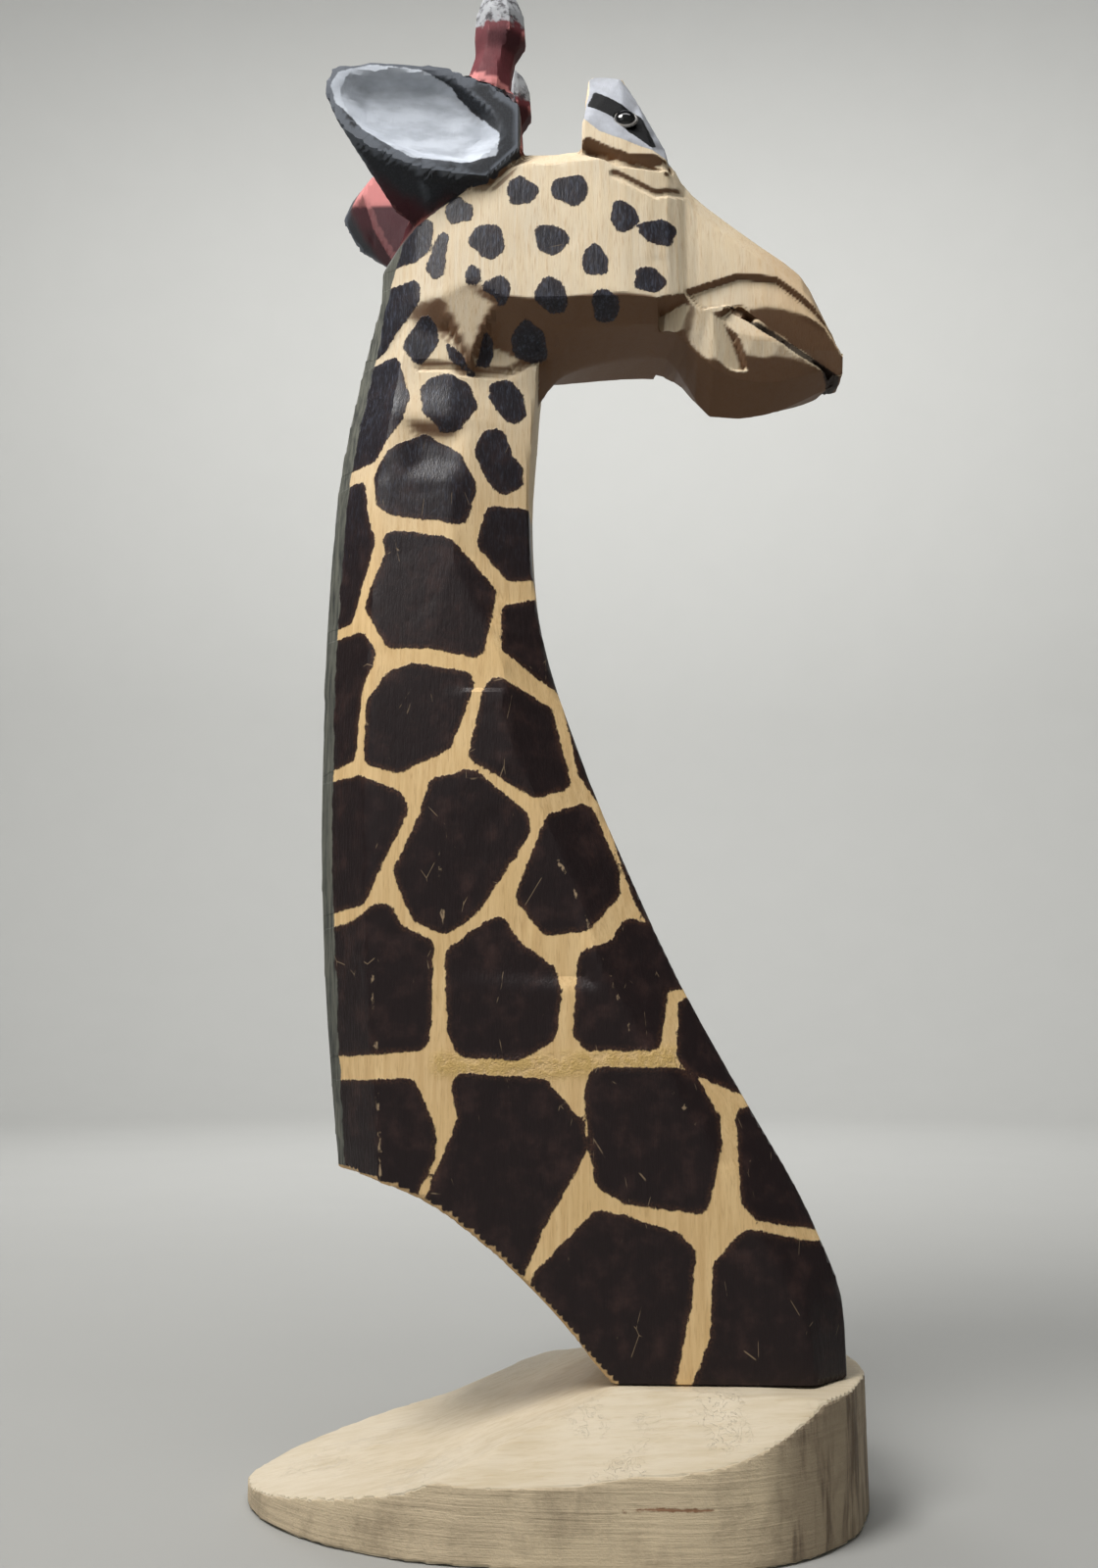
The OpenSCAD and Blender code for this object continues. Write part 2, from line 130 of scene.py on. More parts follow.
# Everything above this line is painted red: ears, their block and the ossicones.
CROWN = [
    (-6.2, 264), (-11, 261), (-17.3, 257), (-24.2, 252), (-31, 249), (-60, 246), (-60, 310), (2, 310),
    (2, 271), (-5.5, 268.6),
]
EYE_FIELD = [
    (8, 281.7), (8, 287), (13, 289), (17, 284), (24, 272), (25, 264), (19, 266), (10, 269.8), (6.5, 273),
]
EYE_BAND = [
    (8.2, 277.2), (9.3, 281.4), (14, 278.4), (18.6, 275.8), (21.5, 268), (20.7, 266.6), (18.9, 268.4),
    (16.5, 270.6), (13.2, 274.4),
]
PINK_LEDGE = [(-19.6, 285), (-8.7, 280.5), (-6.7, 267)]
MOUTH = [(37, 232.6), (43.6, 229.3), (52, 224.4), (60, 219.8), (60, 218.2), (51.2, 222.5), (43.6, 227.4)]
LIP = [
    (27, 235), (32, 237.3), (38.5, 239.6), (46.4, 239.1), (51.3, 235.5), (54.8, 232.4), (62, 224), (62, 218),
    (44, 228), (36.5, 232.5), (31, 231.5),
]
# Flat cuts of the muzzle: above and below the mouth, the chin, and the two that meet behind the lips.
UPPER_LIP = [
    (36.5, 233), (39.6, 235.6), (46.5, 234.4), (52.7, 231), (56.6, 228.9), (62, 224), (62, 217), (44.5, 228),
]
LOWER_LIP = [(36.5, 232.6), (44.5, 228.4), (62, 218), (58.4, 217), (46.1, 222.9), (37.8, 226), (34.8, 230.4)]
CHIN = [
    (37.8, 226), (46.1, 222.9), (58.4, 217), (62, 217), (60, 205), (28, 205), (29.8, 214.6), (32, 221.5),
    (37.7, 219.3), (40, 219.7),
]
SCOOP_REAR = [(22, 231.5), (27.1, 233.6), (30.4, 231), (29.2, 229.5), (31.7, 221.3), (29.8, 212), (22, 212)]
SCOOP_FRONT = [
    (29.2, 229.5), (31.2, 231.6), (34.8, 230.4), (37.8, 226), (40, 219.7), (37.7, 219.3), (31.8, 221.3),
]
# The ears: x of their front end, half the distance between their rims there, the angle by which they
# open to the rear, and how much longer the left one is.
EAR_FRONT = -6.5
EAR_HALF_SPAN = 18
EAR_FLARE = math.radians(8)
LEFT_EAR_SHARE = 45 / 40.5
# Above this crease, which rises outwards, the inner side of an ear is pink as a painted highlight; below it,
# painted shade darkens it.
EAR_CREASE = 263.7
EAR_CREASE_RISE = 0.647
# The ossicones: x and |y| of their middle, reach round it, and heights of their root and grey tip.
OSSICONE_X = -12.5
OSSICONE_Y = 12
OSSICONE_REACH = 7.2
OSSICONE_ROOT = 281.5
OSSICONE_TIP = 296
# Rear edge of the neck, as height and x, and how far the mane's paint reaches in from it.
MANE_EDGE = [
    (56, -41.8), (95, -44.6), (122, -46), (158, -46.4), (193, -45), (208, -43), (226, -39.6), (260, -31),
]
MANE_REACH = 2.8
# Height where the wood's colour turns from the neck's to the head's.
HEAD_FROM = 222
# How round a patch's corners are.
CORNER = 2.2
# Large flat cuts on each side: outline, a place on the plane, its slopes and the width of its edge.
FLAT_CUTS = [
    ([(-29, 206), (-18, 205), (-18, 196), (-28, 197)], (-20, 13.0, 200), (0.0, -0.1), 6),
    ([(-19, 175), (-31, 151), (-3, 150), (-9, 168)], (-18.6, 15.4, 172.7), (-0.075, -0.05), 1),
    ([(-27, 136), (-25, 96), (8, 94), (2, 134)], (-21.5, 17.45, 116), (-0.04, 0.0), 3),
]
# Where rough, yellower wood shows between the patches.
ROUGH_LINE = [(-20, 79.5), (-4, 79), (4, 79.5), (22, 80.5)]
# The sawn arch under the chest.
ARCH_LINE = [(-42, 60), (-30, 58), (-21, 54), (-12, 47.5), (-5, 41.5), (2, 34.5), (7, 28.5), (11, 24)]
# Worn, pale stretches of the long ridges.
WORN_RIDGES = [
    [(-2, 124), (0.9, 118), (5.1, 109.7), (9.4, 98.5), (13.7, 88.4), (16.1, 82), (21, 76.4), (26.6, 68.6)],
    [(-22.1, 126), (-21, 115), (-20, 104)],
    [(-33.3, 100), (-32.3, 80), (-30.9, 58.6)],
]
# A crack in the base's right wall, and where its round end begins to darken with painted shade and dark
# streaks.
BASE_CRACK = [(12, 9), (20, 9.6), (27, 9.3)]
END_SHADE_AND_STREAKS_FROM = 34

# A bead, as its radius, the height of its straight side and of its dome, and the outline of its back,
# in radius and height. The ring of glue round it is an outline too.
BEAD_RADIUS = 2.2
BEAD_SIDE = 1.9
BEAD_DOME = 1.5
DOME_STEPS = 8
EYE_STEPS = 40
BEAD_BACK = [(0, 0), (1.9, 0), (2.2, 0.25)]
GLUE_RING = [(2.1, 1.7), (2.75, 1.78), (2.6, 2.05), (2.4, 2.18), (2.1, 2.2), (2.1, 1.7)]


def shade(red, green, blue):
    """A display colour from 0 to 255 as the linear colour that a shader takes."""
    shares = [channel / 255 for channel in (red, green, blue)]
    return tuple(s / 12.92 if s <= 0.04045 else ((s + 0.055) / 1.055) ** 2.4 for s in shares)


def smooth(share):
    """An even rise from 0 to 1."""
    share = np.clip(share, 0, 1)
    return share * share * (3 - 2 * share)


def unit(vector):
    vector = np.asarray(vector, float)
    return vector / np.linalg.norm(vector)


# Meshes

def place(name, mesh, slot, *nodes):
    """Shows a finished mesh as a piece of the object, in place of some CAD nodes."""
    piece = bpy.data.objects.new(name, mesh)
    bpy.context.scene.collection.objects.link(piece)
    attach(piece, "root")
    if nodes:
        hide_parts(*nodes)


def finished(bm, name):
    """The mesh of a bmesh, with its faces turned outwards."""
    bmesh.ops.remove_doubles(bm, verts=bm.verts, dist=WELD)
    bmesh.ops.recalc_face_normals(bm, faces=bm.faces)
    mesh = bpy.data.meshes.new(name)
    bm.to_mesh(mesh)
    bm.free()
    return mesh


def remeshed(mesh, name, voxel):
    """A mesh's surface as an even skin of small square faces."""
    blank = bpy.data.objects.new(name, mesh)
    bpy.context.scene.collection.objects.link(blank)
    skin = blank.modifiers.new("Skin", "REMESH")
    skin.mode = "VOXEL"
    skin.voxel_size = voxel
    skin.use_smooth_shade = True
    depsgraph = bpy.context.evaluated_depsgraph_get()
    dense = bpy.data.meshes.new_from_object(blank.evaluated_get(depsgraph))
    bpy.data.objects.remove(blank)
    return dense


def dense_copy(node, name, voxel, finer=None):
    """A CAD node's surface in small faces, which are halved again where finer says so."""
    source = bmesh.new()
    source.from_mesh(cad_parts[node].data)
    bmesh.ops.remove_doubles(source, verts=source.verts, dist=WELD)
    surface = BVHTree.FromBMesh(source)
    mesh = remeshed(finished(source, name), name, voxel)
    bm = bmesh.new()
    bm.from_mesh(mesh)
    if finer:
        edges = {edge for face in bm.faces if finer(face.calc_center_median() / MM) for edge in face.edges}
        bmesh.ops.subdivide_edges(bm, edges=list(edges), cuts=1, use_grid_fill=True)
    for vert in bm.verts:
        vert.co = surface.find_nearest(vert.co)[0]
    bm.to_mesh(mesh)
    bm.free()
    mesh.name = name
    return mesh


def on_face(middle):
    """The muzzle and the brows, which are carved finest."""
    return (middle.x > 21 and middle.z > 205) or (middle.x > 5 and middle.z > 253)


def read_floats(rows, field, width):
    """A field of a mesh's elements as an array with a row for each element."""
    values = np.empty(len(rows) * width, np.float32)
    rows.foreach_get(field, values)
    return values.reshape(-1, width).astype(float)


def outline_distance(points, outline):
    """Distance from each point to a closed outline, negative inside it."""
    corners = np.array(outline, float)
    nearest = np.full(len(points), np.inf)
    inside = np.zeros(len(points), bool)
    for a, b in zip(corners, np.roll(corners, -1, axis=0)):
        edge = b - a
        offset = points - a
        share = np.clip(offset @ edge / (edge @ edge), 0, 1)
        nearest = np.minimum(nearest, np.linalg.norm(offset - share[:, None] * edge, axis=1))
        spans = (a[1] > points[:, 1]) != (b[1] > points[:, 1])
        crossing = a[0] + offset[:, 1] * edge[0] / (edge[1] if edge[1] else WELD)
        inside ^= spans & (points[:, 0] < crossing)
    return np.where(inside, -nearest, nearest)


def rounded_distance(points, outline, radius):
    """Distance to an outline whose corners are rounded to a radius, or less in a narrow one."""
    corners = np.array(outline, float)
    middle = corners.mean(axis=0)
    radius = min(radius, -0.6 * outline_distance(middle[None], outline)[0])
    ahead = np.roll(corners, -1, axis=0) - corners
    ahead /= np.linalg.norm(ahead, axis=1, keepdims=True)
    inwards = np.stack([-ahead[:, 1], ahead[:, 0]], axis=1)
    turn = np.cross(ahead, np.roll(ahead, -1, axis=0)).sum()
    inwards *= np.sign(turn)
    before = np.roll(inwards, 1, axis=0)
    spread = 1 + (inwards * before).sum(axis=1, keepdims=True)
    inset = corners + (inwards + before) * radius / np.maximum(spread, 0.4)
    return outline_distance(points, inset) - radius


def line_distance(points, line):
    """Distance from each point to an open line."""
    stops = np.array(line, float)
    nearest = np.full(len(points), np.inf)
    for a, b in zip(stops[:-1], stops[1:]):
        edge = b - a
        share = np.clip((points - a) @ edge / (edge @ edge), 0, 1)
        away = np.linalg.norm(points - a - share[:, None] * edge, axis=1)
        nearest = np.minimum(nearest, away)
    return nearest


class Carving:
    """A dense mesh under the knife and the brush. Places and depths are millimetres."""

    def __init__(self, mesh, seed):
        self.mesh = mesh
        self.places = read_floats(mesh.vertices, "co", 3) / MM
        ends = np.empty(len(mesh.edges) * 2, np.int32)
        mesh.edges.foreach_get("vertices", ends)
        self.ends = ends.reshape(-1, 2)
        self.count = np.bincount(ends, minlength=len(self.places))
        self.chance = np.random.default_rng(seed)
        self.settle()

    def settle(self):
        """Writes the places to the mesh and reads its normals again."""
        self.mesh.vertices.foreach_set("co", (self.places * MM).astype(np.float32).ravel())
        self.mesh.update()
        self.normals = read_floats(self.mesh.vertex_normals, "vector", 3)

    def side_view(self):
        """Each place as x and z."""
        return self.places[:, [0, 2]]

    def neighbours_mean(self, values):
        """Mean of a value over the places that share an edge with each one."""
        a, b = self.ends.T
        size = len(self.places)
        total = np.bincount(a, values[b], size) + np.bincount(b, values[a], size)
        return total / self.count

    def level(self):
        """Mean place of the neighbours of each place."""
        return np.stack([self.neighbours_mean(self.places[:, i]) for i in range(3)], axis=1)

    def ease(self, strength):
        """Wears the whole surface a little rounder."""
        self.places += (self.level() - self.places) * strength
        self.settle()

    def proud(self, rounds):
        """How far each place stands out from its neighbours, evened out over some rounds."""
        proud = ((self.places - self.level()) * self.normals).sum(axis=1)
        for _ in range(rounds):
            proud = self.neighbours_mean(proud)
        return proud

    def shave(self, middle, outward, depth, reach):
        """Takes a flat shaving off whatever stands highest near a place, seen along outward."""
        outward = unit(outward)
        away = np.linalg.norm(self.places - middle, axis=1)
        near = np.nonzero(away < reach)[0]
        if not len(near):
            return
        height = self.places[near] @ outward
        cut = np.clip(height - (height.max() - depth), 0, depth)
        cut *= smooth((reach - away[near]) / (0.3 * reach))
        self.places[near] -= cut[:, None] * outward

    def facets(self, number, depth, reach, tilt, low, high):
        """Scatters small knife facets between two heights."""
        usable = np.nonzero((self.places[:, 2] > low) & (self.places[:, 2] < high))[0]
        for i in self.chance.choice(usable, number):
            outward = unit(self.normals[i] + self.chance.normal(0, tilt, 3))
            self.shave(self.places[i], outward, depth, reach * self.chance.uniform(0.6, 1.3))

    def facing(self, side, least=0.15):
        """The part of the surface that looks out to one side."""
        return (self.places[:, 1] * side > 0) & (self.normals[:, 1] * side > least)

    def plane(self, side, outline, through, slopes, edge=0.5, fill=False):
        """Cuts one side down to a plane inside an outline of x and z, and fills up to it if asked to.

        The plane passes |y| through[1] at x through[0] and z through[2], and |y| grows by the
        slopes for each millimetre along x and up z."""
        x, y, z = self.places.T
        limit = through[1] + (x - through[0]) * slopes[0] + (z - through[2]) * slopes[1]
        share = smooth(0.5 - outline_distance(self.side_view(), outline) / edge)
        cut = np.clip(y * side - limit, -FAR if fill else 0, None) * share
        self.places[:, 1] -= side * cut * (y * side > 2)

    def scoop(self, side, line, width, depth):
        """Gouges a round trough along a line of x and z into one side."""
        away = line_distance(self.side_view(), line)
        cut = depth * np.clip(1 - (away / width) ** 2, 0, 1)
        self.places[:, 1] -= side * cut * self.facing(side)

    def set_back(self, side, outline, depth, edge):
        """Sets one side back by a depth inside an outline, down a steep edge."""
        inside = -outline_distance(self.side_view(), outline)
        self.places[:, 1] -= side * depth * smooth(inside / edge) * self.facing(side)

    def attribute(self, name, values):
        """Stores a value for each place, for the shaders to read."""
        layer = self.mesh.attributes.new(name, "FLOAT", "POINT")
        layer.data.foreach_set("value", np.asarray(values, np.float32))


# Shader nodes

class Value:
    """A node's output that takes part in arithmetic. Each step adds a Math node."""

    def __init__(self, nodes, socket):
        self.nodes = nodes
        self.socket = socket

    def math(self, operation, *values):
        return self.nodes.make("ShaderNodeMath", {"operation": operation}, dict(enumerate(values)))

    def __add__(self, other):
        return self.math("ADD", self, other)

    __radd__ = __add__

    def __sub__(self, other):
        return self.math("SUBTRACT", self, other)

    def __rsub__(self, other):
        return self.math("SUBTRACT", other, self)

    def __mul__(self, other):
        return self.math("MULTIPLY", self, other)

    __rmul__ = __mul__

    def most(self, other):
        return self.math("MAXIMUM", self, other)

    def size(self):
        return self.math("ABSOLUTE", self)

    def sway(self, reach):
        """A cloudy value, moved to lie round 0 and spread."""
        return (self - 0.5) * reach

    def rise(self, low, high):
        """0 where the value is at low and 1 where it is at high; low may be the greater."""
        turned = low > high
        inputs = {"Value": self, "From Min": min(low, high), "From Max": max(low, high)}
        inputs.update({"To Min": float(turned), "To Max": float(not turned)})
        settings = {"interpolation_type": "SMOOTHSTEP", "clamp": True}
        return self.nodes.make("ShaderNodeMapRange", settings, inputs)


class Finish:
    """A material under construction, with patterns measured in millimetres over the object."""

    def __init__(self, name):
        self.material = bpy.data.materials.new(name)
        self.material.use_nodes = True
        self.tree = self.material.node_tree
        self.tree.nodes.clear()
        coordinates = self.make("ShaderNodeTexCoord", output="Object")
        self.place = self.make(
            "ShaderNodeVectorMath", {"operation": "SCALE"}, {"Vector": coordinates, "Scale": 1 / MM})

    def make(self, kind, settings=None, inputs=None, output=0):
        """One node of any kind: its settings first, then its sockets' values or links."""
        node = self.tree.nodes.new(kind)
        for name, value in (settings or {}).items():
            setattr(node, name, value)
        for name, value in (inputs or {}).items():
            if isinstance(value, Value):
                self.tree.links.new(value.socket, node.inputs[name])
            else:
                node.inputs[name].default_value = value
        return Value(self, node.outputs[output])

    def stretched(self, squeeze):
        """Places with each axis multiplied, so that a pattern is drawn out along the others."""
        return self.make("ShaderNodeVectorMath", {"operation": "MULTIPLY"}, {0: self.place, 1: squeeze})

    def noise(self, scale, detail=2.0, rough=0.5, squeeze=(1, 1, 1), bend=0.0):
        """Cloudy values round 0.5, with features about 1 / scale millimetres wide."""
        inputs = {"Vector": self.stretched(squeeze), "Scale": scale, "Detail": detail}
        inputs.update({"Roughness": rough, "Distortion": bend})
        return self.make("ShaderNodeTexNoise", {}, inputs)

    def cells(self, scale, squeeze=(1, 1, 1), feature="F1"):
        """Distances within a net of uneven cells about 1 / scale millimetres wide."""
        inputs = {"Vector": self.stretched(squeeze), "Scale": scale}
        return self.make("ShaderNodeTexVoronoi", {"feature": feature}, inputs)

    def painted(self, name):
        """A value that the carving stored on the mesh."""
        return self.make("ShaderNodeAttribute", {"attribute_name": name}, output="Fac")

    def blend(self, share, first, second):
        """Colour going from the first to the second as share goes from 0 to 1. A tuple is a display
        colour, and a setting is linear."""
        def colour(value):
            if isinstance(value, Value):
                return value
            return (*(shade(*value) if isinstance(value, tuple) else value), 1.0)
        settings = {"data_type": "RGBA", "clamp_factor": True}
        inputs = {0: share, 6: colour(first), 7: colour(second)}
        return self.make("ShaderNodeMix", settings, inputs, output=2)

    def surface(self, colour, roughness, height=None, metallic=0.0, **fixed):
        """Ends the material in one shader. Height is in millimetres, and fixed holds other sockets."""
        inputs = {"Base Color": colour, "Roughness": roughness, "Metallic": metallic}
        inputs.update({name.replace("_", " "): value for name, value in fixed.items()})
        if height is not None:
            bump = {"Height": height, "Distance": MM, "Strength": 1.0}
            inputs["Normal"] = self.make("ShaderNodeBump", {}, bump)
        shader = self.make("ShaderNodeBsdfPrincipled", {}, inputs, output="BSDF")
        end = self.tree.nodes.new("ShaderNodeOutputMaterial")
        self.tree.links.new(shader.socket, end.inputs["Surface"])
        return self.material


# Settings

def length_setting(name, description, default):
    return FloatProperty(name=name, description=description, default=default, unit="LENGTH", precision=5)


def colour_setting(name, description, default):
    return FloatVectorProperty(
        name=name, description=description, default=shade(*default), subtype="COLOR", size=3, min=0, max=1)


class FigureSettings(bpy.types.PropertyGroup):
    """Carving and painting of the giraffe itself."""
    face_size: length_setting("Face Size", "Edge of the small faces that the carving is made of", 0.99 * MM)
    seed: IntProperty(name="Knife Seed", description="Changes where the small knife facets fall", default=5)
    facet_count: IntProperty(
        name="Knife Facets", description="Number of small facets scattered over the wood", default=260)
    wood: colour_setting("Face Wood", "Bare pale wood of the head", (216, 202, 178))
    line: colour_setting("Line Wood", "Varnished wood of the lines between the patches", (236, 204, 152))
    paint: colour_setting("Patch Paint", "Dark paint of the patches", (34, 24, 25))
    mane: colour_setting("Mane Paint", "Grey-green paint of the mane strip", (80, 82, 77))
    hollow: colour_setting("Ear Hollow", "Pale paint inside the ears", (196, 202, 212))
    rim: colour_setting("Ear Rim", "Near-black paint of the ear rims", (40, 42, 47))
    crown: colour_setting(
        "Crown Paint", "Maroon paint of the ears' backs and the ossicones", (108, 50, 56))
    worn: colour_setting(
        "Crown Undercoat", "Pink undercoat that shows where the maroon is thin", (214, 138, 136))


class BaseSettings(bpy.types.PropertyGroup):
    """The block foot."""
    face_size: length_setting("Face Size", "Edge of the small faces that the base is made of", 0.9 * MM)
    seed: IntProperty(name="Knife Seed", description="Changes where the knife facets fall", default=11)
    top: colour_setting("Cut Wood", "Fresh-cut top of the base", (211, 197, 172))
    wall: colour_setting("Sawn Wall", "Greyed, rough side wall of the base", (216, 197, 166))


class StageSettings(bpy.types.PropertyGroup):
    """Camera, floor and lights."""
    camera_place: FloatVectorProperty(
        name="Camera Place", description="Where the camera stands", unit="LENGTH", size=3,
        default=(0.0095, -0.27393, 0.08649))
    camera_rise: FloatProperty(
        name="Camera Rise", description="How far the camera looks up", subtype="ANGLE",
        default=math.radians(9.991))
    camera_turn: FloatProperty(
        name="Camera Turn", description="How far the camera looks left", subtype="ANGLE",
        default=math.radians(2.201))
    lens: FloatProperty(name="Lens", description="Focal length in mm for a 36 mm sensor", default=31.5)
    backdrop: colour_setting("Backdrop", "Plain pale floor and backdrop", (168, 168, 165))
    key_power: FloatProperty(
        name="Key Light", description="Power of the soft light at the upper left", default=2.85)
    sweep_power: FloatProperty(
        name="Backdrop Light", description="Power of the light on the backdrop", default=24.0)
    fill_power: FloatProperty(
        name="Fill Light", description="Power of the soft light from the far left", default=0.55)


# Materials

class PaintedWood(Finish):
    """The figure's material, with the patterns that its paints share."""

    def __init__(self, look):
        super().__init__("Painted Wood")
        self.look = look
        self.grain = self.noise(0.9, 3, 0.6, (1, 1, 0.06), 0.4)
        self.fibre = self.noise(3.2, 2, 0.6, (1, 1, 0.09))
        self.cloud = self.noise(0.06, 3, 0.55)
        self.patchy = self.noise(0.22, 4, 0.6)
        self.fine = self.noise(2.4, 3, 0.65)
        self.ridge = self.painted("ridge")
        # Painted shade in the creases, where the surface sinks below its neighbours.
        self.crease = self.ridge.rise(-0.02, -0.09)
        self.face = (self.painted("head") + self.cloud.sway(12)).rise(-60, 8)
        self.rough = self.painted("rough").rise(3.6, 0.8) * self.noise(0.5, 3, 0.7).rise(0.3, 0.6)


def bare_wood(f):
    """Bare wood, yellower down the neck, with painted shade where the head faces down and in the creases."""
    tawny = f.blend(f.face, (200, 160, 106), (206, 180, 140))
    light = f.blend(f.face, (222, 188, 132), (232, 214, 182))
    wood = f.blend(f.face, f.look.line, f.look.wood)
    wood = f.blend(f.grain.rise(0.3, 0.7) * 0.5, wood, tawny)
    wood = f.blend(f.cloud.rise(0.35, 0.7) * 0.5, wood, light)
    wood = f.blend(f.fibre.rise(0.5, 0.75) * 0.35, wood, (170, 128, 82))
    wood = f.blend(f.painted("nose").rise(0, 1) * 0.35, wood, (212, 164, 108))
    wood = f.blend(f.rough * 0.75, wood, (206, 172, 102))
    # Painted shade on the wood where the head faces down.
    wood = f.blend(f.painted("under").rise(0.2, 0.9) * 0.92, wood, (92, 58, 34))
    # Painted shade in the creases.
    return f.blend(f.crease * 0.6, wood, (120, 82, 50))


def patch_paint(f, depth):
    """Dark paint, thin at the edges, worn off the ridges and scratched, with painted sheen streaks on the
    head's spots.
    """
    dark = f.blend(f.patchy.rise(0.45, 0.8) * 0.75, f.look.paint, (66, 47, 44))
    stroke = f.noise(0.8, 3, 0.7, (1, 1, 0.12)).rise(0.45, 0.85)
    dark = f.blend(stroke * 0.35, dark, (24, 18, 20))
    edge = depth.rise(-1.3, -0.1) * f.fine.rise(0.35, 0.75)
    dark = f.blend(edge * 0.5, dark, (112, 76, 54))
    dash = f.noise(0.5, 3, 0.7, (1, 1, 0.6)).rise(0.5, 0.6)
    wander = f.noise(0.6, 2, 0.6) - 0.5
    worn = (f.painted("worn") + wander * 1.2).rise(0.42, 0.2) * dash
    crack = f.cells(0.16, (1, 1, 0.45), "DISTANCE_TO_EDGE").rise(0.009, 0.003)
    scratch = crack * f.noise(0.14, 3, 0.6).rise(0.6, 0.66)
    dark = f.blend((worn * 0.75).most(scratch * 0.5), dark, (178, 154, 124))
    # Painted sheen: pale bluish streaks on the head's spots.
    sheen_streaks = f.noise(1.9, 3, 0.7, (1, 1, 0.25), 0.5).rise(0.45, 0.75)
    dark = f.blend(f.face * 0.6, dark, (34, 36, 44))
    return f.blend(f.face * sheen_streaks * 0.6, dark, (84, 90, 106))


def red_paint(f):
    """Maroon of the crown, worn to its undercoat, with a painted highlight on the upper inner sides of the
    ears and painted shade underneath and on their lower inner sides.
    """
    # Worn ridges and the worn pink ledge show the undercoat; the upper inner sides of the ears get the same
    # pink as a painted highlight.
    worn_and_highlit = (f.ridge.rise(0.03, 0.1) + f.noise(0.35, 3, 0.6).sway(0.9)).rise(0.4, 0.85)
    worn_and_highlit = worn_and_highlit.most(f.painted("ledge_and_highlight").rise(0, 1))
    red = f.blend(f.patchy.rise(0.35, 0.7) * 0.5, f.look.crown, (82, 38, 44))
    red = f.blend(worn_and_highlit * 0.85, red, f.look.worn)
    root = (f.painted("crown") + f.patchy.sway(3)).rise(-4, -0.3)
    red = f.blend(root * 0.5, red, (140, 84, 62))
    # Painted shade where the head faces down and on the lower inner sides of the ears.
    shadow = (f.painted("under") * 0.85).most(f.painted("deep") * 0.8)
    return f.blend(shadow, red, (54, 24, 31))


def crown_paint(f):
    """The red, under the black rims of the ears with a painted highlight along their edges, and the scuffed
    tips of the ossicones.
    """
    fine, patchy = f.fine, f.patchy
    rimmed = (f.painted("ear_depth") + fine.sway(1.6) + patchy.sway(4)).rise(7.5, 3.5)
    rim = f.blend(fine.rise(0.4, 0.75) * 0.5, f.look.rim, (66, 70, 76))
    # Painted highlight along the rims' edges.
    rim = f.blend(f.ridge.rise(0.02, 0.08) * 0.6, rim, (116, 122, 132))
    red = f.blend(rimmed, red_paint(f), rim)
    tip = (f.painted("tip") + f.noise(0.4, 3, 0.6).sway(5)).rise(-0.6, 0.6)
    scuffs = f.noise(0.45, 3, 0.65).rise(0.36, 0.56)
    return f.blend(tip, red, f.blend(scuffs, (66, 64, 68), (160, 162, 166)))


def hollow_paint(f):
    """Pale, gouged inside of an ear."""
    gouge = f.noise(0.18, 3, 0.6, (0.6, 1, 1.6)).rise(0.35, 0.7)
    pale = f.blend(gouge, f.look.hollow, (168, 174, 184))
    return f.blend(f.noise(1.1, 3, 0.7).rise(0.66, 0.8) * 0.5, pale, (110, 112, 118))


def mane_paint(f, streak):
    """Grey-green paint with long pale streaks."""
    mane = f.blend(f.patchy.rise(0.3, 0.7), f.look.mane, (56, 58, 57))
    return f.blend(streak.rise(0.3, 0.72), mane, (112, 112, 102))


def sawn(f, colour):
    """Bares the sawn wood under the chest and paints shade into every crease."""
    chips = (f.painted("arch") + f.noise(0.55, 4, 0.75).sway(8)).rise(-1.0, -1.3)
    bare = (f.painted("bare") + f.fine.sway(0.5)).rise(0.35, 0.65).most(chips)
    colour = f.blend(bare, colour, f.blend(f.grain, (206, 178, 134), (170, 132, 88)))
    # Painted shade in the creases.
    return f.blend(f.crease * 0.35, colour, f.blend(0.7, colour, (40, 26, 20)))


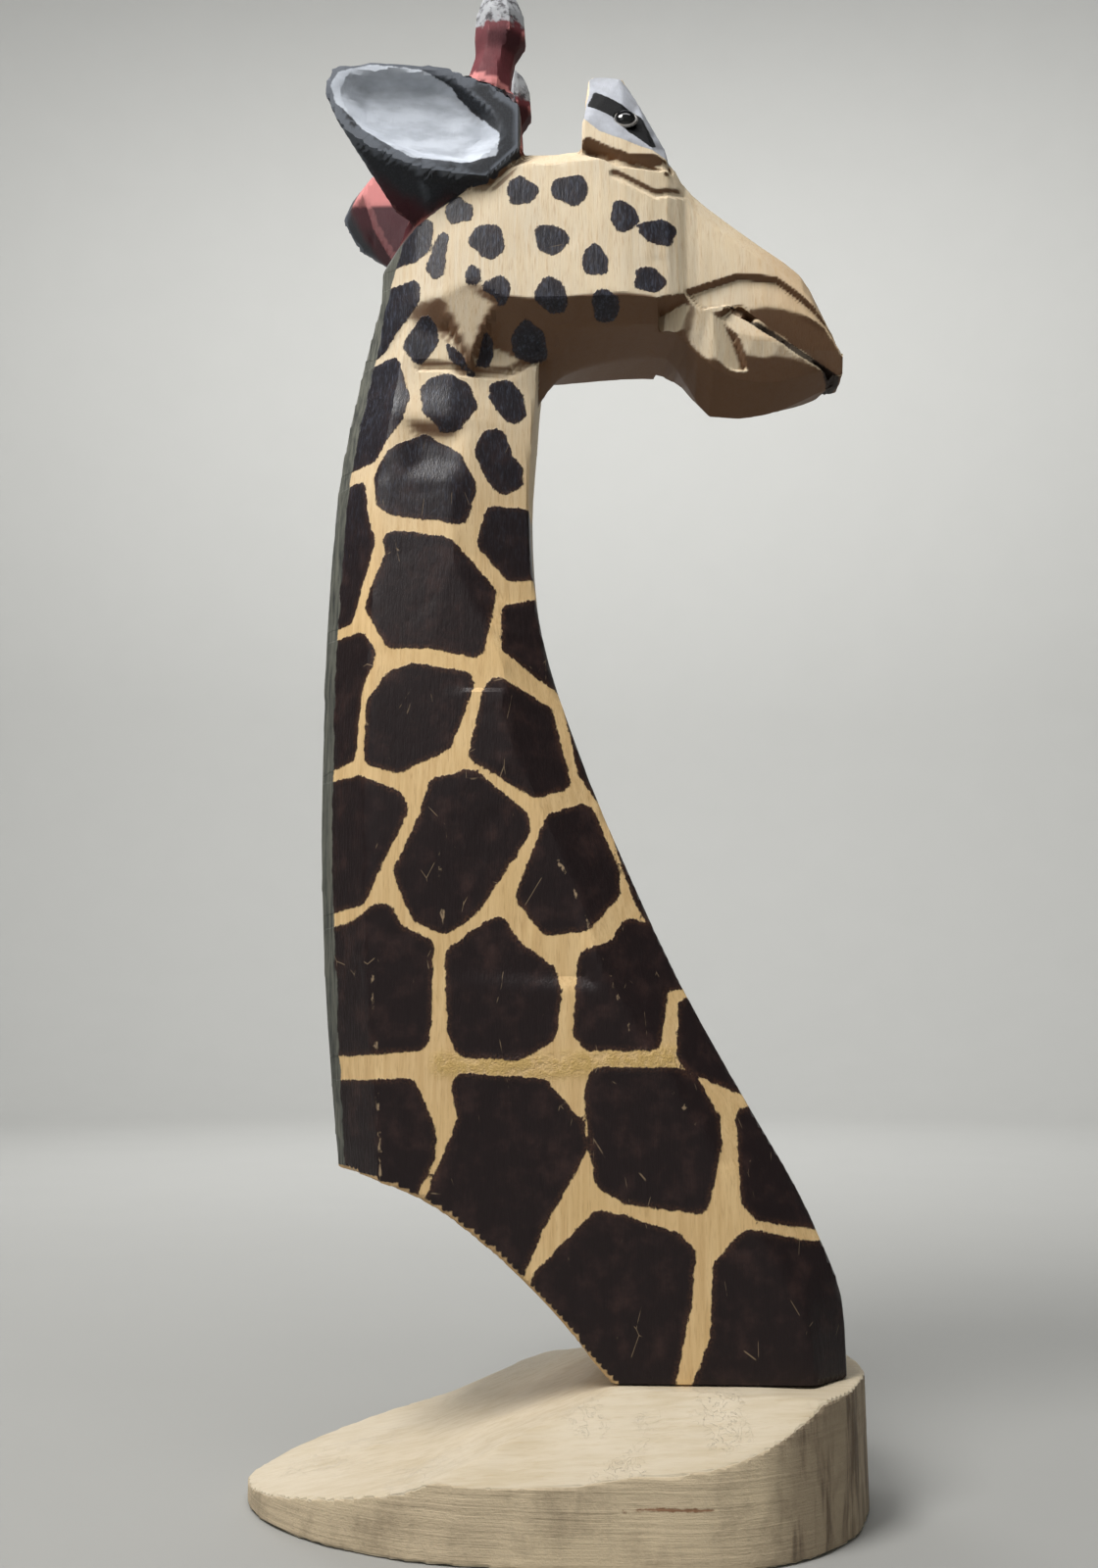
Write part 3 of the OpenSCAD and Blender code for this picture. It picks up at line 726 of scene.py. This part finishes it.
def figure_finish(look):
    """Varnished wood under hand-painted patches, mane, ears, ossicones and eye bands."""
    f = PaintedWood(look)
    fine, patchy = f.fine, f.patchy
    wander = f.noise(0.5, 3, 0.55).sway(1.1) + f.noise(2.2, 3, 0.7, (1, 1, 0.45)).sway(0.85)
    depth = f.painted("patch") + wander
    patch = depth.rise(0.16, -0.12)
    colour = f.blend(patch, bare_wood(f), patch_paint(f, depth))

    strip = (f.painted("mane") + f.noise(0.25, 2, 0.5).sway(1.6) + fine.sway(0.5)).rise(0.15, -0.15)
    streak = f.noise(1.6, 3, 0.65, (1, 1, 0.05))
    colour = f.blend(strip, colour, mane_paint(f, streak))
    crown = (f.painted("crown") + fine.sway(0.8) + f.noise(0.4).sway(1.2)).rise(0.25, -0.25)
    colour = f.blend(crown, colour, crown_paint(f))
    inner = (f.painted("hollow") + f.noise(0.5, 2).sway(0.8) + fine.sway(0.5)).rise(0.15, -0.15)
    colour = f.blend(inner, colour, hollow_paint(f))

    field = (f.painted("eye_field") + fine.sway(0.45)).rise(0.1, -0.1)
    pale = f.blend(patchy.rise(0.3, 0.75), (184, 188, 197), (158, 160, 167))
    colour = f.blend(field, colour, pale)
    band = (f.painted("eye_band") + fine.sway(0.6) + patchy.sway(0.8)).rise(0.6, 0.4)
    colour = f.blend(band, colour, f.blend(fine.rise(0.4, 0.8) * 0.3, (8, 8, 10), look.rim))
    # Painted shade inside the mouth slit.
    mouth_slit_shade = (f.painted("mouth") + f.noise(1.6, 3, 0.7).sway(0.5)).rise(0.4, 0.1)
    colour = sawn(f, f.blend(mouth_slit_shade * 0.92, colour, (28, 20, 17)))

    gloss = 0.62 - 0.2 * patch + fine.sway(0.22) + 0.1 * strip + 0.08 * crown + 0.1 * inner - 0.1 * band
    relief = f.fibre * 0.05 + f.grain * 0.05 + f.noise(7.0, 2, 0.6) * 0.015
    relief = relief + patch * (f.noise(1.3, 3, 0.7, (1, 1, 0.3)) * 0.09 + 0.05)
    relief = relief + strip * streak * 0.12 + f.rough * fine * 0.3
    relief = relief + (crown + field) * fine * 0.05
    return f.surface(colour, gloss.most(0.25), relief, Specular_IOR_Level=0.28)


def base_finish(look):
    """Fresh knife-cut softwood, greyed and rough on the side wall, with painted shade in its creases and on
    its round end.
    """
    f = Finish("Cut Softwood")
    wall = (f.painted("wall") + f.noise(0.7, 3, 0.6).sway(0.12)).rise(0.4, 0.6)
    grain = f.noise(0.8, 3, 0.6, (0.07, 1, 1), 0.3)
    fibre = f.noise(3.0, 2, 0.6, (0.08, 1, 1))
    cloud = f.noise(0.05, 3, 0.5)
    fine = f.noise(2.2, 3, 0.65)
    top = f.blend(grain.rise(0.35, 0.7), look.top, (200, 184, 154))
    top = f.blend(cloud.rise(0.4, 0.7) * 0.5, top, (222, 210, 188))
    top = f.blend(fibre.rise(0.55, 0.75) * 0.3, top, (186, 160, 120))
    line = f.noise(1.6, 3, 0.65, (0.03, 0.03, 1), 0.2)
    side = f.blend(line.rise(0.35, 0.7) * 0.3, look.wall, (150, 132, 106))
    side = f.blend(fibre.rise(0.5, 0.75) * 0.25, side, (112, 96, 76))
    side = f.blend(f.noise(0.05, 3, 0.6, (0.5, 1, 1.6)).rise(0.38, 0.62) * 0.7, side, (222, 203, 170))
    stain = f.noise(0.09, 4, 0.7, (1, 1, 0.8)).rise(0.48, 0.7)
    side = f.blend(stain * 0.4, side, (124, 106, 84))
    split = (f.painted("crack") + f.noise(0.8, 3, 0.7).sway(0.9)).rise(0.45, 0.15)
    side = f.blend(split * 0.85, side, (128, 80, 46))
    weather = f.noise(0.24, 4, 0.7, (1, 1, 0.14)).rise(0.42, 0.62)
    # The round end darkens: an even painted shade, with weathered streaks over it.
    side = f.blend(f.painted("end") * (0.5 + 0.4 * weather), side, (88, 70, 54))
    colour = f.blend(wall, top, side)
    # Painted shade in the base's creases.
    base_crease_shade = f.painted("ridge").rise(-0.02, -0.1)
    colour = f.blend(base_crease_shade * 0.5, colour, (110, 86, 60))
    hair = f.noise(0.5, 2, 0.5, (1, 1, 1), 1.2)
    scratch = (hair - 0.5).size().rise(0.006, 0.002) * f.noise(0.06, 2, 0.5).rise(0.52, 0.62) * (1 - wall)
    colour = f.blend(scratch * 0.5, colour, (244, 240, 228))
    relief = fibre * 0.05 + grain * 0.06 + line * wall * 0.16 + fine * wall * 0.1 - scratch * 0.1
    return f.surface(colour, 0.62 + 0.14 * wall + fine.sway(0.15), relief)


def bead_finish():
    """Glossy black bead, faintly dusted."""
    f = Finish("Black Bead")
    dust = f.noise(2.5, 3, 0.6)
    colour = f.blend(dust.rise(0.55, 0.8) * 0.3, (10, 10, 12), (58, 58, 62))
    return f.surface(colour, 0.06 + 0.12 * dust.rise(0.5, 0.8), dust * 0.01, Coat_Weight=0.4)


def glue_finish():
    """Dried glue, yellowed and half clear."""
    f = Finish("Dried Glue")
    cloud = f.noise(0.8, 3, 0.6)
    colour = f.blend(cloud.rise(0.3, 0.7), (150, 149, 148), (118, 112, 106))
    return f.surface(colour, 0.24 + 0.2 * cloud, cloud * 0.1)


def steel_finish():
    """Zinc-plated steel with turning marks."""
    f = Finish("Zinc Plated Steel")
    cloud = f.noise(0.5, 3, 0.6)
    turning = f.noise(5.0, 2, 0.5, (0.4, 0.4, 2))
    colour = f.blend(cloud.rise(0.3, 0.7), (176, 178, 182), (146, 146, 140))
    return f.surface(colour, 0.3 + 0.2 * cloud, turning * 0.03, metallic=1.0)


def dowel_finish():
    """Plain beech with short flecks."""
    f = Finish("Beech")
    grain = f.noise(0.9, 3, 0.6, (1, 1, 0.08))
    fleck = f.cells(1.4, (1, 1, 0.3)).rise(0.3, 0.12)
    colour = f.blend(grain.rise(0.3, 0.7), (208, 172, 128), (184, 142, 98))
    colour = f.blend(fleck * 0.4, colour, (140, 98, 64))
    return f.surface(colour, 0.55 + 0.15 * grain, grain * 0.06)


def backdrop_finish(tint):
    """Plain matt paper."""
    f = Finish("Backdrop Paper")
    cloud = f.noise(0.02, 2, 0.5)
    colour = f.blend(cloud * 0.15, tint, (150, 150, 147))
    return f.surface(colour, 0.85)


# Carving the giraffe

def carve_ridges(wood):
    """Worn, hand-cut bevels down the long edges of the neck."""
    for side in (RIGHT, LEFT):
        for height in range(34, 205, 8):
            z = height + wood.chance.uniform(-2, 2)
            ring = wood.places[np.abs(wood.places[:, 2] - z) < 1]
            front = ring[:, 0].max()
            rear = ring[:, 0].min()
            lean = wood.chance.uniform(-0.06, 0.06)
            outward = (0.42, side, 0.2 + lean)
            middle = ring[np.argmax(ring @ unit(outward))]
            wood.shave(middle, outward, wood.chance.uniform(0.15, 0.5), 8)
            outward = (-0.3, side, lean)
            middle = ring[np.argmax(ring @ unit(outward))]
            wood.shave(middle, outward, wood.chance.uniform(0.1, 0.4), 8)
            if wood.chance.random() < 0.5:
                wood.shave((front, side * 9, z), (1, side * 0.7, 0.3), 0.4, 7)
            wood.shave((rear, side * 6, z), (-1, side * 0.8, lean), 0.35, 7)


def carve_face(wood, side):
    """Brow cuts, lip fold, planes of the lips and the chin, and the hollow behind the jaw, on one side."""
    wood.scoop(side, [(8, 266.5), (13.8, 262.8), (24, 262.4)], 1.5, 1.6)
    wood.scoop(side, [(13, 259.6), (21.4, 255.6), (27, 257.2)], 1.0, 0.6)
    wood.set_back(side, LIP, 1.1, 0.5)
    wood.plane(side, UPPER_LIP, (45, 10.2, 233), (-0.1, 0.36), 0.4)
    wood.plane(side, LOWER_LIP, (45, 10.4, 226), (-0.12, -0.22), 0.4)
    wood.plane(side, CHIN, (45, 10.8, 224), (-0.1, 0.5), 0.4)
    wood.plane(side, SCOOP_REAR, (30.4, 12.6, 225), (0.4, 0.06), 0.4)
    wood.plane(side, SCOOP_FRONT, (30.4, 12.4, 225), (-0.42, 0.1), 0.6)
    wood.set_back(side, MOUTH, 2.0, 0.4)
    wood.plane(side, JAW_HOLLOW, (-16, 16.6, 235.6), (0.0, 0.2), 0.8, fill=True)
    wood.scoop(side, [(-27, 219.6), (-22, 219.4), (-16.8, 218.4), (-9.4, 219), (-0.6, 224.2)], 1.1, 0.8)


def carve_facets(wood):
    """The few large flat cuts that stand out on each side."""
    for side in (RIGHT, LEFT):
        for outline, through, slopes, edge in FLAT_CUTS:
            wood.plane(side, outline, through, slopes, edge)
        wood.shave((10, side * 17, 229), (0.05, side, -0.9), 0.8, 12)
        wood.shave((-6, side * 17, 230), (-0.1, side, -0.8), 0.7, 10)
        wood.shave((20, side * 16, 228), (0.3, side, -0.8), 0.7, 10)


def ear_places(wood):
    """For each place: how deep it lies under an ear's rim, whether it is on an ear, its view on the
    shorter ear."""
    x, y, z = wood.places.T
    back = EAR_FRONT - x
    depth = EAR_HALF_SPAN + back * math.tan(EAR_FLARE) - np.abs(y)
    off_axis = np.hypot(x - OSSICONE_X, np.abs(y) - OSSICONE_Y)
    ossicone = (off_axis < OSSICONE_REACH) & (z > OSSICONE_ROOT)
    on_ear = (back > -0.8) & (np.abs(y) > 10) & (z > 250) & (z < 286) & ~ossicone
    longer = np.where(y > 0, LEFT_EAR_SHARE, 1.0)
    return depth, on_ear, np.stack([EAR_FRONT - back / longer, z], axis=1)


def fill_ear_rims(wood):
    """Leaves wood standing flat up to the rim wherever the hollow doesn't reach."""
    depth, on_ear, view = ear_places(wood)
    outside = smooth(outline_distance(view, EAR_HOLLOW) / 2.2)
    outwards = wood.facing(np.sign(wood.places[:, 1]), 0.3)
    dish = on_ear & outwards & (outline_distance(view, EAR_RIM) < 0) & (depth > 0) & (depth < 5)
    raised = np.where(dish, depth * outside, 0)
    wood.places[:, 1] += raised * np.sign(wood.places[:, 1])
    wood.settle()


def spot_distance(chance, points, x, z, half_x, half_z):
    """Distance to a slightly uneven oval spot, negative inside it."""
    across = (points[:, 0] - x) / half_x
    up = (points[:, 1] - z) / half_z
    angle = np.arctan2(up, across)
    first, second, third = chance.uniform(0, math.tau, 3)
    uneven = 1 + 0.08 * np.cos(2 * angle + first) + 0.08 * np.cos(3 * angle + second)
    uneven += 0.05 * np.cos(5 * angle + third)
    return (np.hypot(across, up) - uneven) * min(half_x, half_z)


def mark_patches(wood):
    """Stores how far each place lies from the edges of the dark patches and the mane, in millimetres."""
    x, y, z = wood.places.T
    # The left side carries the same patches a little higher and pulled about.
    pulled = np.stack([x + 1.6 * np.sin(z / 13), z - 3.5 - 1.5 * np.sin(x / 8)], axis=1)
    view = np.where((y < 0)[:, None], wood.side_view(), pulled)
    patch = np.full(len(x), FAR)
    for outline in NECK_PATCHES:
        patch = np.minimum(patch, rounded_distance(view, outline, CORNER))
    for spot in HEAD_SPOTS:
        patch = np.minimum(patch, spot_distance(wood.chance, view, *spot))
    patch = np.maximum(patch, -outline_distance(view, JAW_HOLLOW))
    # A pale line runs down the middle of the front.
    middle = 1.4 - np.abs(y + 1.5 * np.sin(z / 11))
    front = wood.normals[:, 0] > 0.6
    wood.attribute("patch", np.where(front, np.maximum(patch, middle), patch))
    heights, edges = zip(*MANE_EDGE)
    mane = x - np.interp(z, heights, edges) - MANE_REACH
    wood.attribute("mane", np.where((z > 50) & (z < 256), mane, FAR))


def mark_crown(wood):
    """Stores the red crown, the ears' depth and hollows, the worn pink ledge, the tips of what stands up, and
    the painted highlight and painted shade on its inner sides.
    """
    x, y, z = wood.places.T
    beyond_cheek = (np.abs(y) > 17.2) & (x < -5.5) & (z > 248)
    wood.attribute("crown", np.where(beyond_cheek, -2.0, outline_distance(wood.side_view(), CROWN)))
    depth, on_ear, view = ear_places(wood)
    wood.attribute("ear_depth", np.where(on_ear, depth, FAR))
    open_side = (np.abs(y) > 12) & (depth < 5) & (wood.normals[:, 1] * y > 0)
    wood.attribute("hollow", np.where(open_side, outline_distance(view, EAR_HOLLOW), FAR))
    wood.attribute("tip", z - OSSICONE_TIP)
    ledge = (line_distance(wood.side_view(), PINK_LEDGE) < 1.0) & (np.abs(y) < 18.5) & (np.abs(y) > 9)
    inner_side = (wood.normals[:, 1] * y < 0) & (x < -20) & (np.abs(y) > 5) & (z > 246)
    upper = smooth((z - EAR_CREASE - EAR_CREASE_RISE * np.abs(y)) / 1.2)
    # The pink ledge is worn undercoat; above the crease the inner side is a painted highlight, below it a
    # painted shade.
    wood.attribute("ledge_and_highlight", np.where(ledge, 1.0, inner_side * upper))
    wood.attribute("deep", inner_side * (1 - upper))


def mark_face(wood):
    """Stores the eyes' fields and bands, the mouth slit for its painted shade, and how far up and forward the
    head reaches.
    """
    x, y, z = wood.places.T
    on_brow = (np.abs(y) > 7.5) & (z > 262) & (x > 5)
    for name, outline in (("eye_field", EYE_FIELD), ("eye_band", EYE_BAND)):
        wood.attribute(name, np.where(on_brow, outline_distance(wood.side_view(), outline), FAR))
    wood.attribute("mouth", outline_distance(wood.side_view(), MOUTH))
    wood.attribute("head", z - HEAD_FROM)
    wood.attribute("nose", np.clip((x - 34) / 18, 0, 1) * (z > 225))


def mark_wear(wood):
    """Stores the rough, sawn and worn lines, the painted shade on what faces down on the head, and the
    ridges.
    """
    down = -wood.normals[:, 2]
    wood.attribute("rough", line_distance(wood.side_view(), ROUGH_LINE))
    arch = line_distance(wood.side_view(), ARCH_LINE)
    wood.attribute("arch", arch)
    wood.attribute("bare", (arch < 1.2) * (down > 0.35))
    worn = [line_distance(wood.side_view(), line) for line in WORN_RIDGES]
    wood.attribute("worn", np.min(worn, axis=0))
    # Painted shade: how far a place on the head faces down.
    wood.attribute("under", smooth(down / 0.45) * (wood.places[:, 2] > 200))
    wood.attribute("ridge", wood.proud(2))


def coat(mesh, finish):
    """Sharpens the knife edges and gives the whole mesh one material."""
    mesh.set_sharp_from_angle(angle=KNIFE_EDGE)
    mesh.materials.clear()
    mesh.materials.append(finish)


def carve_figure(look):
    mesh = dense_copy("neck_head", "carved_figure", look.face_size, on_face)
    wood = Carving(mesh, look.seed)
    carve_ridges(wood)
    wood.settle()
    carve_facets(wood)
    wood.facets(look.facet_count, 0.16, 7, 0.035, 30, 262)
    wood.facets(60, 0.3, 4, 0.12, 262, 306)
    wood.settle()
    for side in (RIGHT, LEFT):
        carve_face(wood, side)
    wood.settle()
    fill_ear_rims(wood)
    wood.ease(0.12)
    for mark in (mark_patches, mark_crown, mark_face, mark_wear):
        mark(wood)
    coat(mesh, figure_finish(look))
    place("carved_figure", mesh, "figure_wood", "neck_head")


# The base, the eyes and the fixings

def carve_base(look):
    mesh = dense_copy("base", "carved_base", look.face_size)
    wood = Carving(mesh, look.seed)
    top = wood.normals[:, 2] > 0.5
    wall = np.abs(wood.normals[:, 2]) < 0.3
    for part, number, tilt, depth, reach in ((top, 60, 0.05, 0.35, 9), (wall, 40, 0.08, 0.45, 11)):
        for i in wood.chance.choice(np.nonzero(part)[0], number):
            outward = unit(wood.normals[i] + wood.chance.normal(0, tilt, 3))
            wood.shave(wood.places[i], outward, depth, reach)
    wood.settle()
    wood.ease(0.3)
    steep = 1 - smooth((np.abs(wood.normals[:, 2]) - 0.3) / 0.4)
    wood.attribute("wall", steep)
    crack = line_distance(wood.side_view(), BASE_CRACK)
    wood.attribute("crack", np.where(wood.places[:, 1] < 0, crack, FAR))
    # Painted shade and streaks over the round end.
    wood.attribute("end", smooth((wood.places[:, 0] - END_SHADE_AND_STREAKS_FROM) / 8))
    wood.attribute("ridge", wood.proud(1))
    coat(mesh, base_finish(look))
    place("carved_base", mesh, "base_wood", "base")


def flat_back(mesh):
    """Middle and outward direction of a bead's flat back, its largest flat face."""
    flats = {}
    for face in mesh.polygons:
        key = tuple(round(c, 2) for c in face.normal)
        area, total = flats.get(key, (0.0, Vector()))
        flats[key] = (area + face.area, total + face.center * face.area)
    key, (area, total) = max(flats.items(), key=lambda item: item[1][0])
    return total / area, Vector(key).normalized()


def bead_frame(node):
    """Where a bead sits: its flat back's middle, +Z out of the socket."""
    bm = bmesh.new()
    bm.from_mesh(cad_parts[node].data)
    mesh = finished(bm, node + "_probe")
    middle, back = flat_back(mesh)
    bpy.data.meshes.remove(mesh)
    return Matrix.Translation(middle) @ (-back).to_track_quat("Z", "Y").to_matrix().to_4x4()


def turned(bm, outline, steps):
    """Turns an outline of radius and height, in millimetres, about the local Z axis."""
    rim = [bm.verts.new((radius * MM, 0, height * MM)) for radius, height in outline]
    edges = [bm.edges.new(pair) for pair in zip(rim[:-1], rim[1:])]
    bmesh.ops.spin(bm, geom=rim + edges, cent=(0, 0, 0), axis=(0, 0, 1), angle=math.tau, steps=steps,
                   use_merge=True)


def eye_part(name, outline, place_of, finish, *nodes):
    """A turned part of an eye, set in its socket."""
    bm = bmesh.new()
    turned(bm, outline, EYE_STEPS)
    bmesh.ops.transform(bm, matrix=place_of, verts=bm.verts)
    mesh = finished(bm, name)
    mesh.shade_smooth()
    mesh.materials.append(finish)
    place(name, mesh, "eye_bead", *nodes)


def make_beads():
    """Domed glass beads, each in a ring of dried glue."""
    black = bead_finish()
    glue = glue_finish()
    outline = BEAD_BACK + [(BEAD_RADIUS, BEAD_SIDE)]
    for step in range(1, DOME_STEPS):
        angle = math.radians(90 * step / DOME_STEPS)
        outline.append((BEAD_RADIUS * math.cos(angle), BEAD_SIDE + BEAD_DOME * math.sin(angle)))
    outline.append((0, BEAD_SIDE + BEAD_DOME))
    for side in ("right", "left"):
        place_of = bead_frame("eye_" + side)
        eye_part("bead_" + side, outline, place_of, black, "eye_" + side)
        eye_part("bead_" + side + "_glue", GLUE_RING, place_of, glue)


def make_fixings():
    steel = steel_finish()
    for node, finish in (("screw_front", steel), ("screw_rear", steel), ("dowel", dowel_finish())):
        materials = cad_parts[node].data.materials
        materials.clear()
        materials.append(finish)


# The stage, in metres

FLOOR_Z = -0.0002
FLOOR_RADIUS = 1.1
CURVE = 0.5
CURVE_STEPS = 12
ROUND_STEPS = 96
WALL_TOP = 2.6
# How strong the light on the wall behind the camera is, against the one in front of it.
REAR_SHARE = 0.35


def soft_light(name, place_of, target, size, power, tint=(1.0, 1.0, 1.0)):
    """A round soft light that the camera doesn't see."""
    lamp = bpy.data.lights.new(name, "AREA")
    lamp.shape = "DISK"
    lamp.size = size
    lamp.energy = power
    lamp.color = tint
    obj = bpy.data.objects.new(name, lamp)
    obj.visible_camera = False
    obj.location = place_of
    bpy.context.scene.collection.objects.link(obj)
    obj.rotation_euler = (Vector(target) - obj.location).to_track_quat("-Z", "Y").to_euler()


def make_backdrop(look):
    """A round floor of pale paper that curves up into a wall all round."""
    bm = bmesh.new()
    line = [(0, FLOOR_Z), (FLOOR_RADIUS, FLOOR_Z)]
    for step in range(1, CURVE_STEPS + 1):
        angle = math.radians(90 * step / CURVE_STEPS)
        line.append((FLOOR_RADIUS + CURVE * math.sin(angle), FLOOR_Z + CURVE * (1 - math.cos(angle))))
    line.append((FLOOR_RADIUS + CURVE, WALL_TOP))
    turned(bm, [(x / MM, z / MM) for x, z in line], ROUND_STEPS)
    bmesh.ops.reverse_faces(bm, faces=bm.faces)
    mesh = bpy.data.meshes.new("backdrop")
    bm.to_mesh(mesh)
    bm.free()
    mesh.shade_smooth()
    mesh.materials.append(backdrop_finish(look.backdrop))
    obj = bpy.data.objects.new("backdrop", mesh)
    bpy.context.scene.collection.objects.link(obj)


def make_stage(look):
    scene = bpy.context.scene
    make_backdrop(look)
    soft_light("key", (-0.2, -0.23, 0.58), (0, 0, 0.17), 0.22, look.key_power, (1.0, 0.985, 0.96))
    soft_light("fill", (-0.5, -0.75, 0.55), (0, 0, 0.14), 0.6, look.fill_power, (0.94, 0.97, 1.0))
    soft_light("back", (-0.35, 0.6, 0.6), (0, 0, 0.17), 0.4, look.fill_power * 2)
    soft_light("sweep", (0, 0.5, 1.15), (0, 1.6, 0.6), 1.0, look.sweep_power)
    soft_light("rear_sweep", (0, -0.5, 1.2), (0, -1.3, 0.5), 1.0, look.sweep_power * REAR_SHARE)
    world = bpy.data.worlds.new("Studio")
    world.use_nodes = True
    sky = world.node_tree.nodes["Background"].inputs
    sky["Color"].default_value = (0.93, 0.95, 1.0, 1.0)
    sky["Strength"].default_value = 0.05
    scene.world = world
    scene.view_settings.view_transform = "Standard"
    lens = bpy.data.cameras.new("camera")
    lens.lens = look.lens
    lens.sensor_width = 36
    camera = bpy.data.objects.new("camera", lens)
    camera.location = look.camera_place
    camera.rotation_euler = (math.pi / 2 + look.camera_rise, 0, look.camera_turn)
    scene.collection.objects.link(camera)
    scene.camera = camera


# Operators

class GIRAFFE_OT_figure(bpy.types.Operator):
    """Carves and paints the giraffe"""
    bl_idname = "giraffe.figure"
    bl_label = "Carve Figure"

    def execute(self, context):
        carve_figure(context.scene.giraffe_figure)
        return {"FINISHED"}


class GIRAFFE_OT_base(bpy.types.Operator):
    """Carves the block foot"""
    bl_idname = "giraffe.base"
    bl_label = "Carve Base"

    def execute(self, context):
        carve_base(context.scene.giraffe_base)
        return {"FINISHED"}


class GIRAFFE_OT_eyes(bpy.types.Operator):
    """Sets the two bead eyes in their glue"""
    bl_idname = "giraffe.eyes"
    bl_label = "Set Eyes"

    def execute(self, context):
        make_beads()
        return {"FINISHED"}


class GIRAFFE_OT_fixings(bpy.types.Operator):
    """Finishes the screws and the dowel under the base"""
    bl_idname = "giraffe.fixings"
    bl_label = "Finish Fixings"

    def execute(self, context):
        make_fixings()
        return {"FINISHED"}


class GIRAFFE_OT_stage(bpy.types.Operator):
    """Sets the camera, the backdrop and the lights"""
    bl_idname = "giraffe.stage"
    bl_label = "Set Stage"

    def execute(self, context):
        make_stage(context.scene.giraffe_stage)
        return {"FINISHED"}


class GIRAFFE_PT_panel(bpy.types.Panel):
    """Lists the steps that make the statue"""
    bl_label = "Carved Giraffe"
    bl_space_type = "VIEW_3D"
    bl_region_type = "UI"
    bl_category = "Giraffe"

    def draw(self, context):
        for operator in OPERATORS:
            self.layout.operator(operator.bl_idname)


OPERATORS = (GIRAFFE_OT_figure, GIRAFFE_OT_base, GIRAFFE_OT_eyes, GIRAFFE_OT_fixings, GIRAFFE_OT_stage)
SETTINGS = {"giraffe_figure": FigureSettings, "giraffe_base": BaseSettings, "giraffe_stage": StageSettings}


def register():
    for cls in (*SETTINGS.values(), *OPERATORS, GIRAFFE_PT_panel):
        bpy.utils.register_class(cls)
    for name, group in SETTINGS.items():
        setattr(bpy.types.Scene, name, PointerProperty(type=group))


def unregister():
    for name in SETTINGS:
        delattr(bpy.types.Scene, name)
    for cls in (GIRAFFE_PT_panel, *reversed(OPERATORS), *reversed(SETTINGS.values())):
        bpy.utils.unregister_class(cls)


def main():
    register()
    bpy.ops.giraffe.figure()
    bpy.ops.giraffe.base()
    bpy.ops.giraffe.eyes()
    bpy.ops.giraffe.fixings()
    bpy.ops.giraffe.stage()


if __name__ == "__main__":
    main()
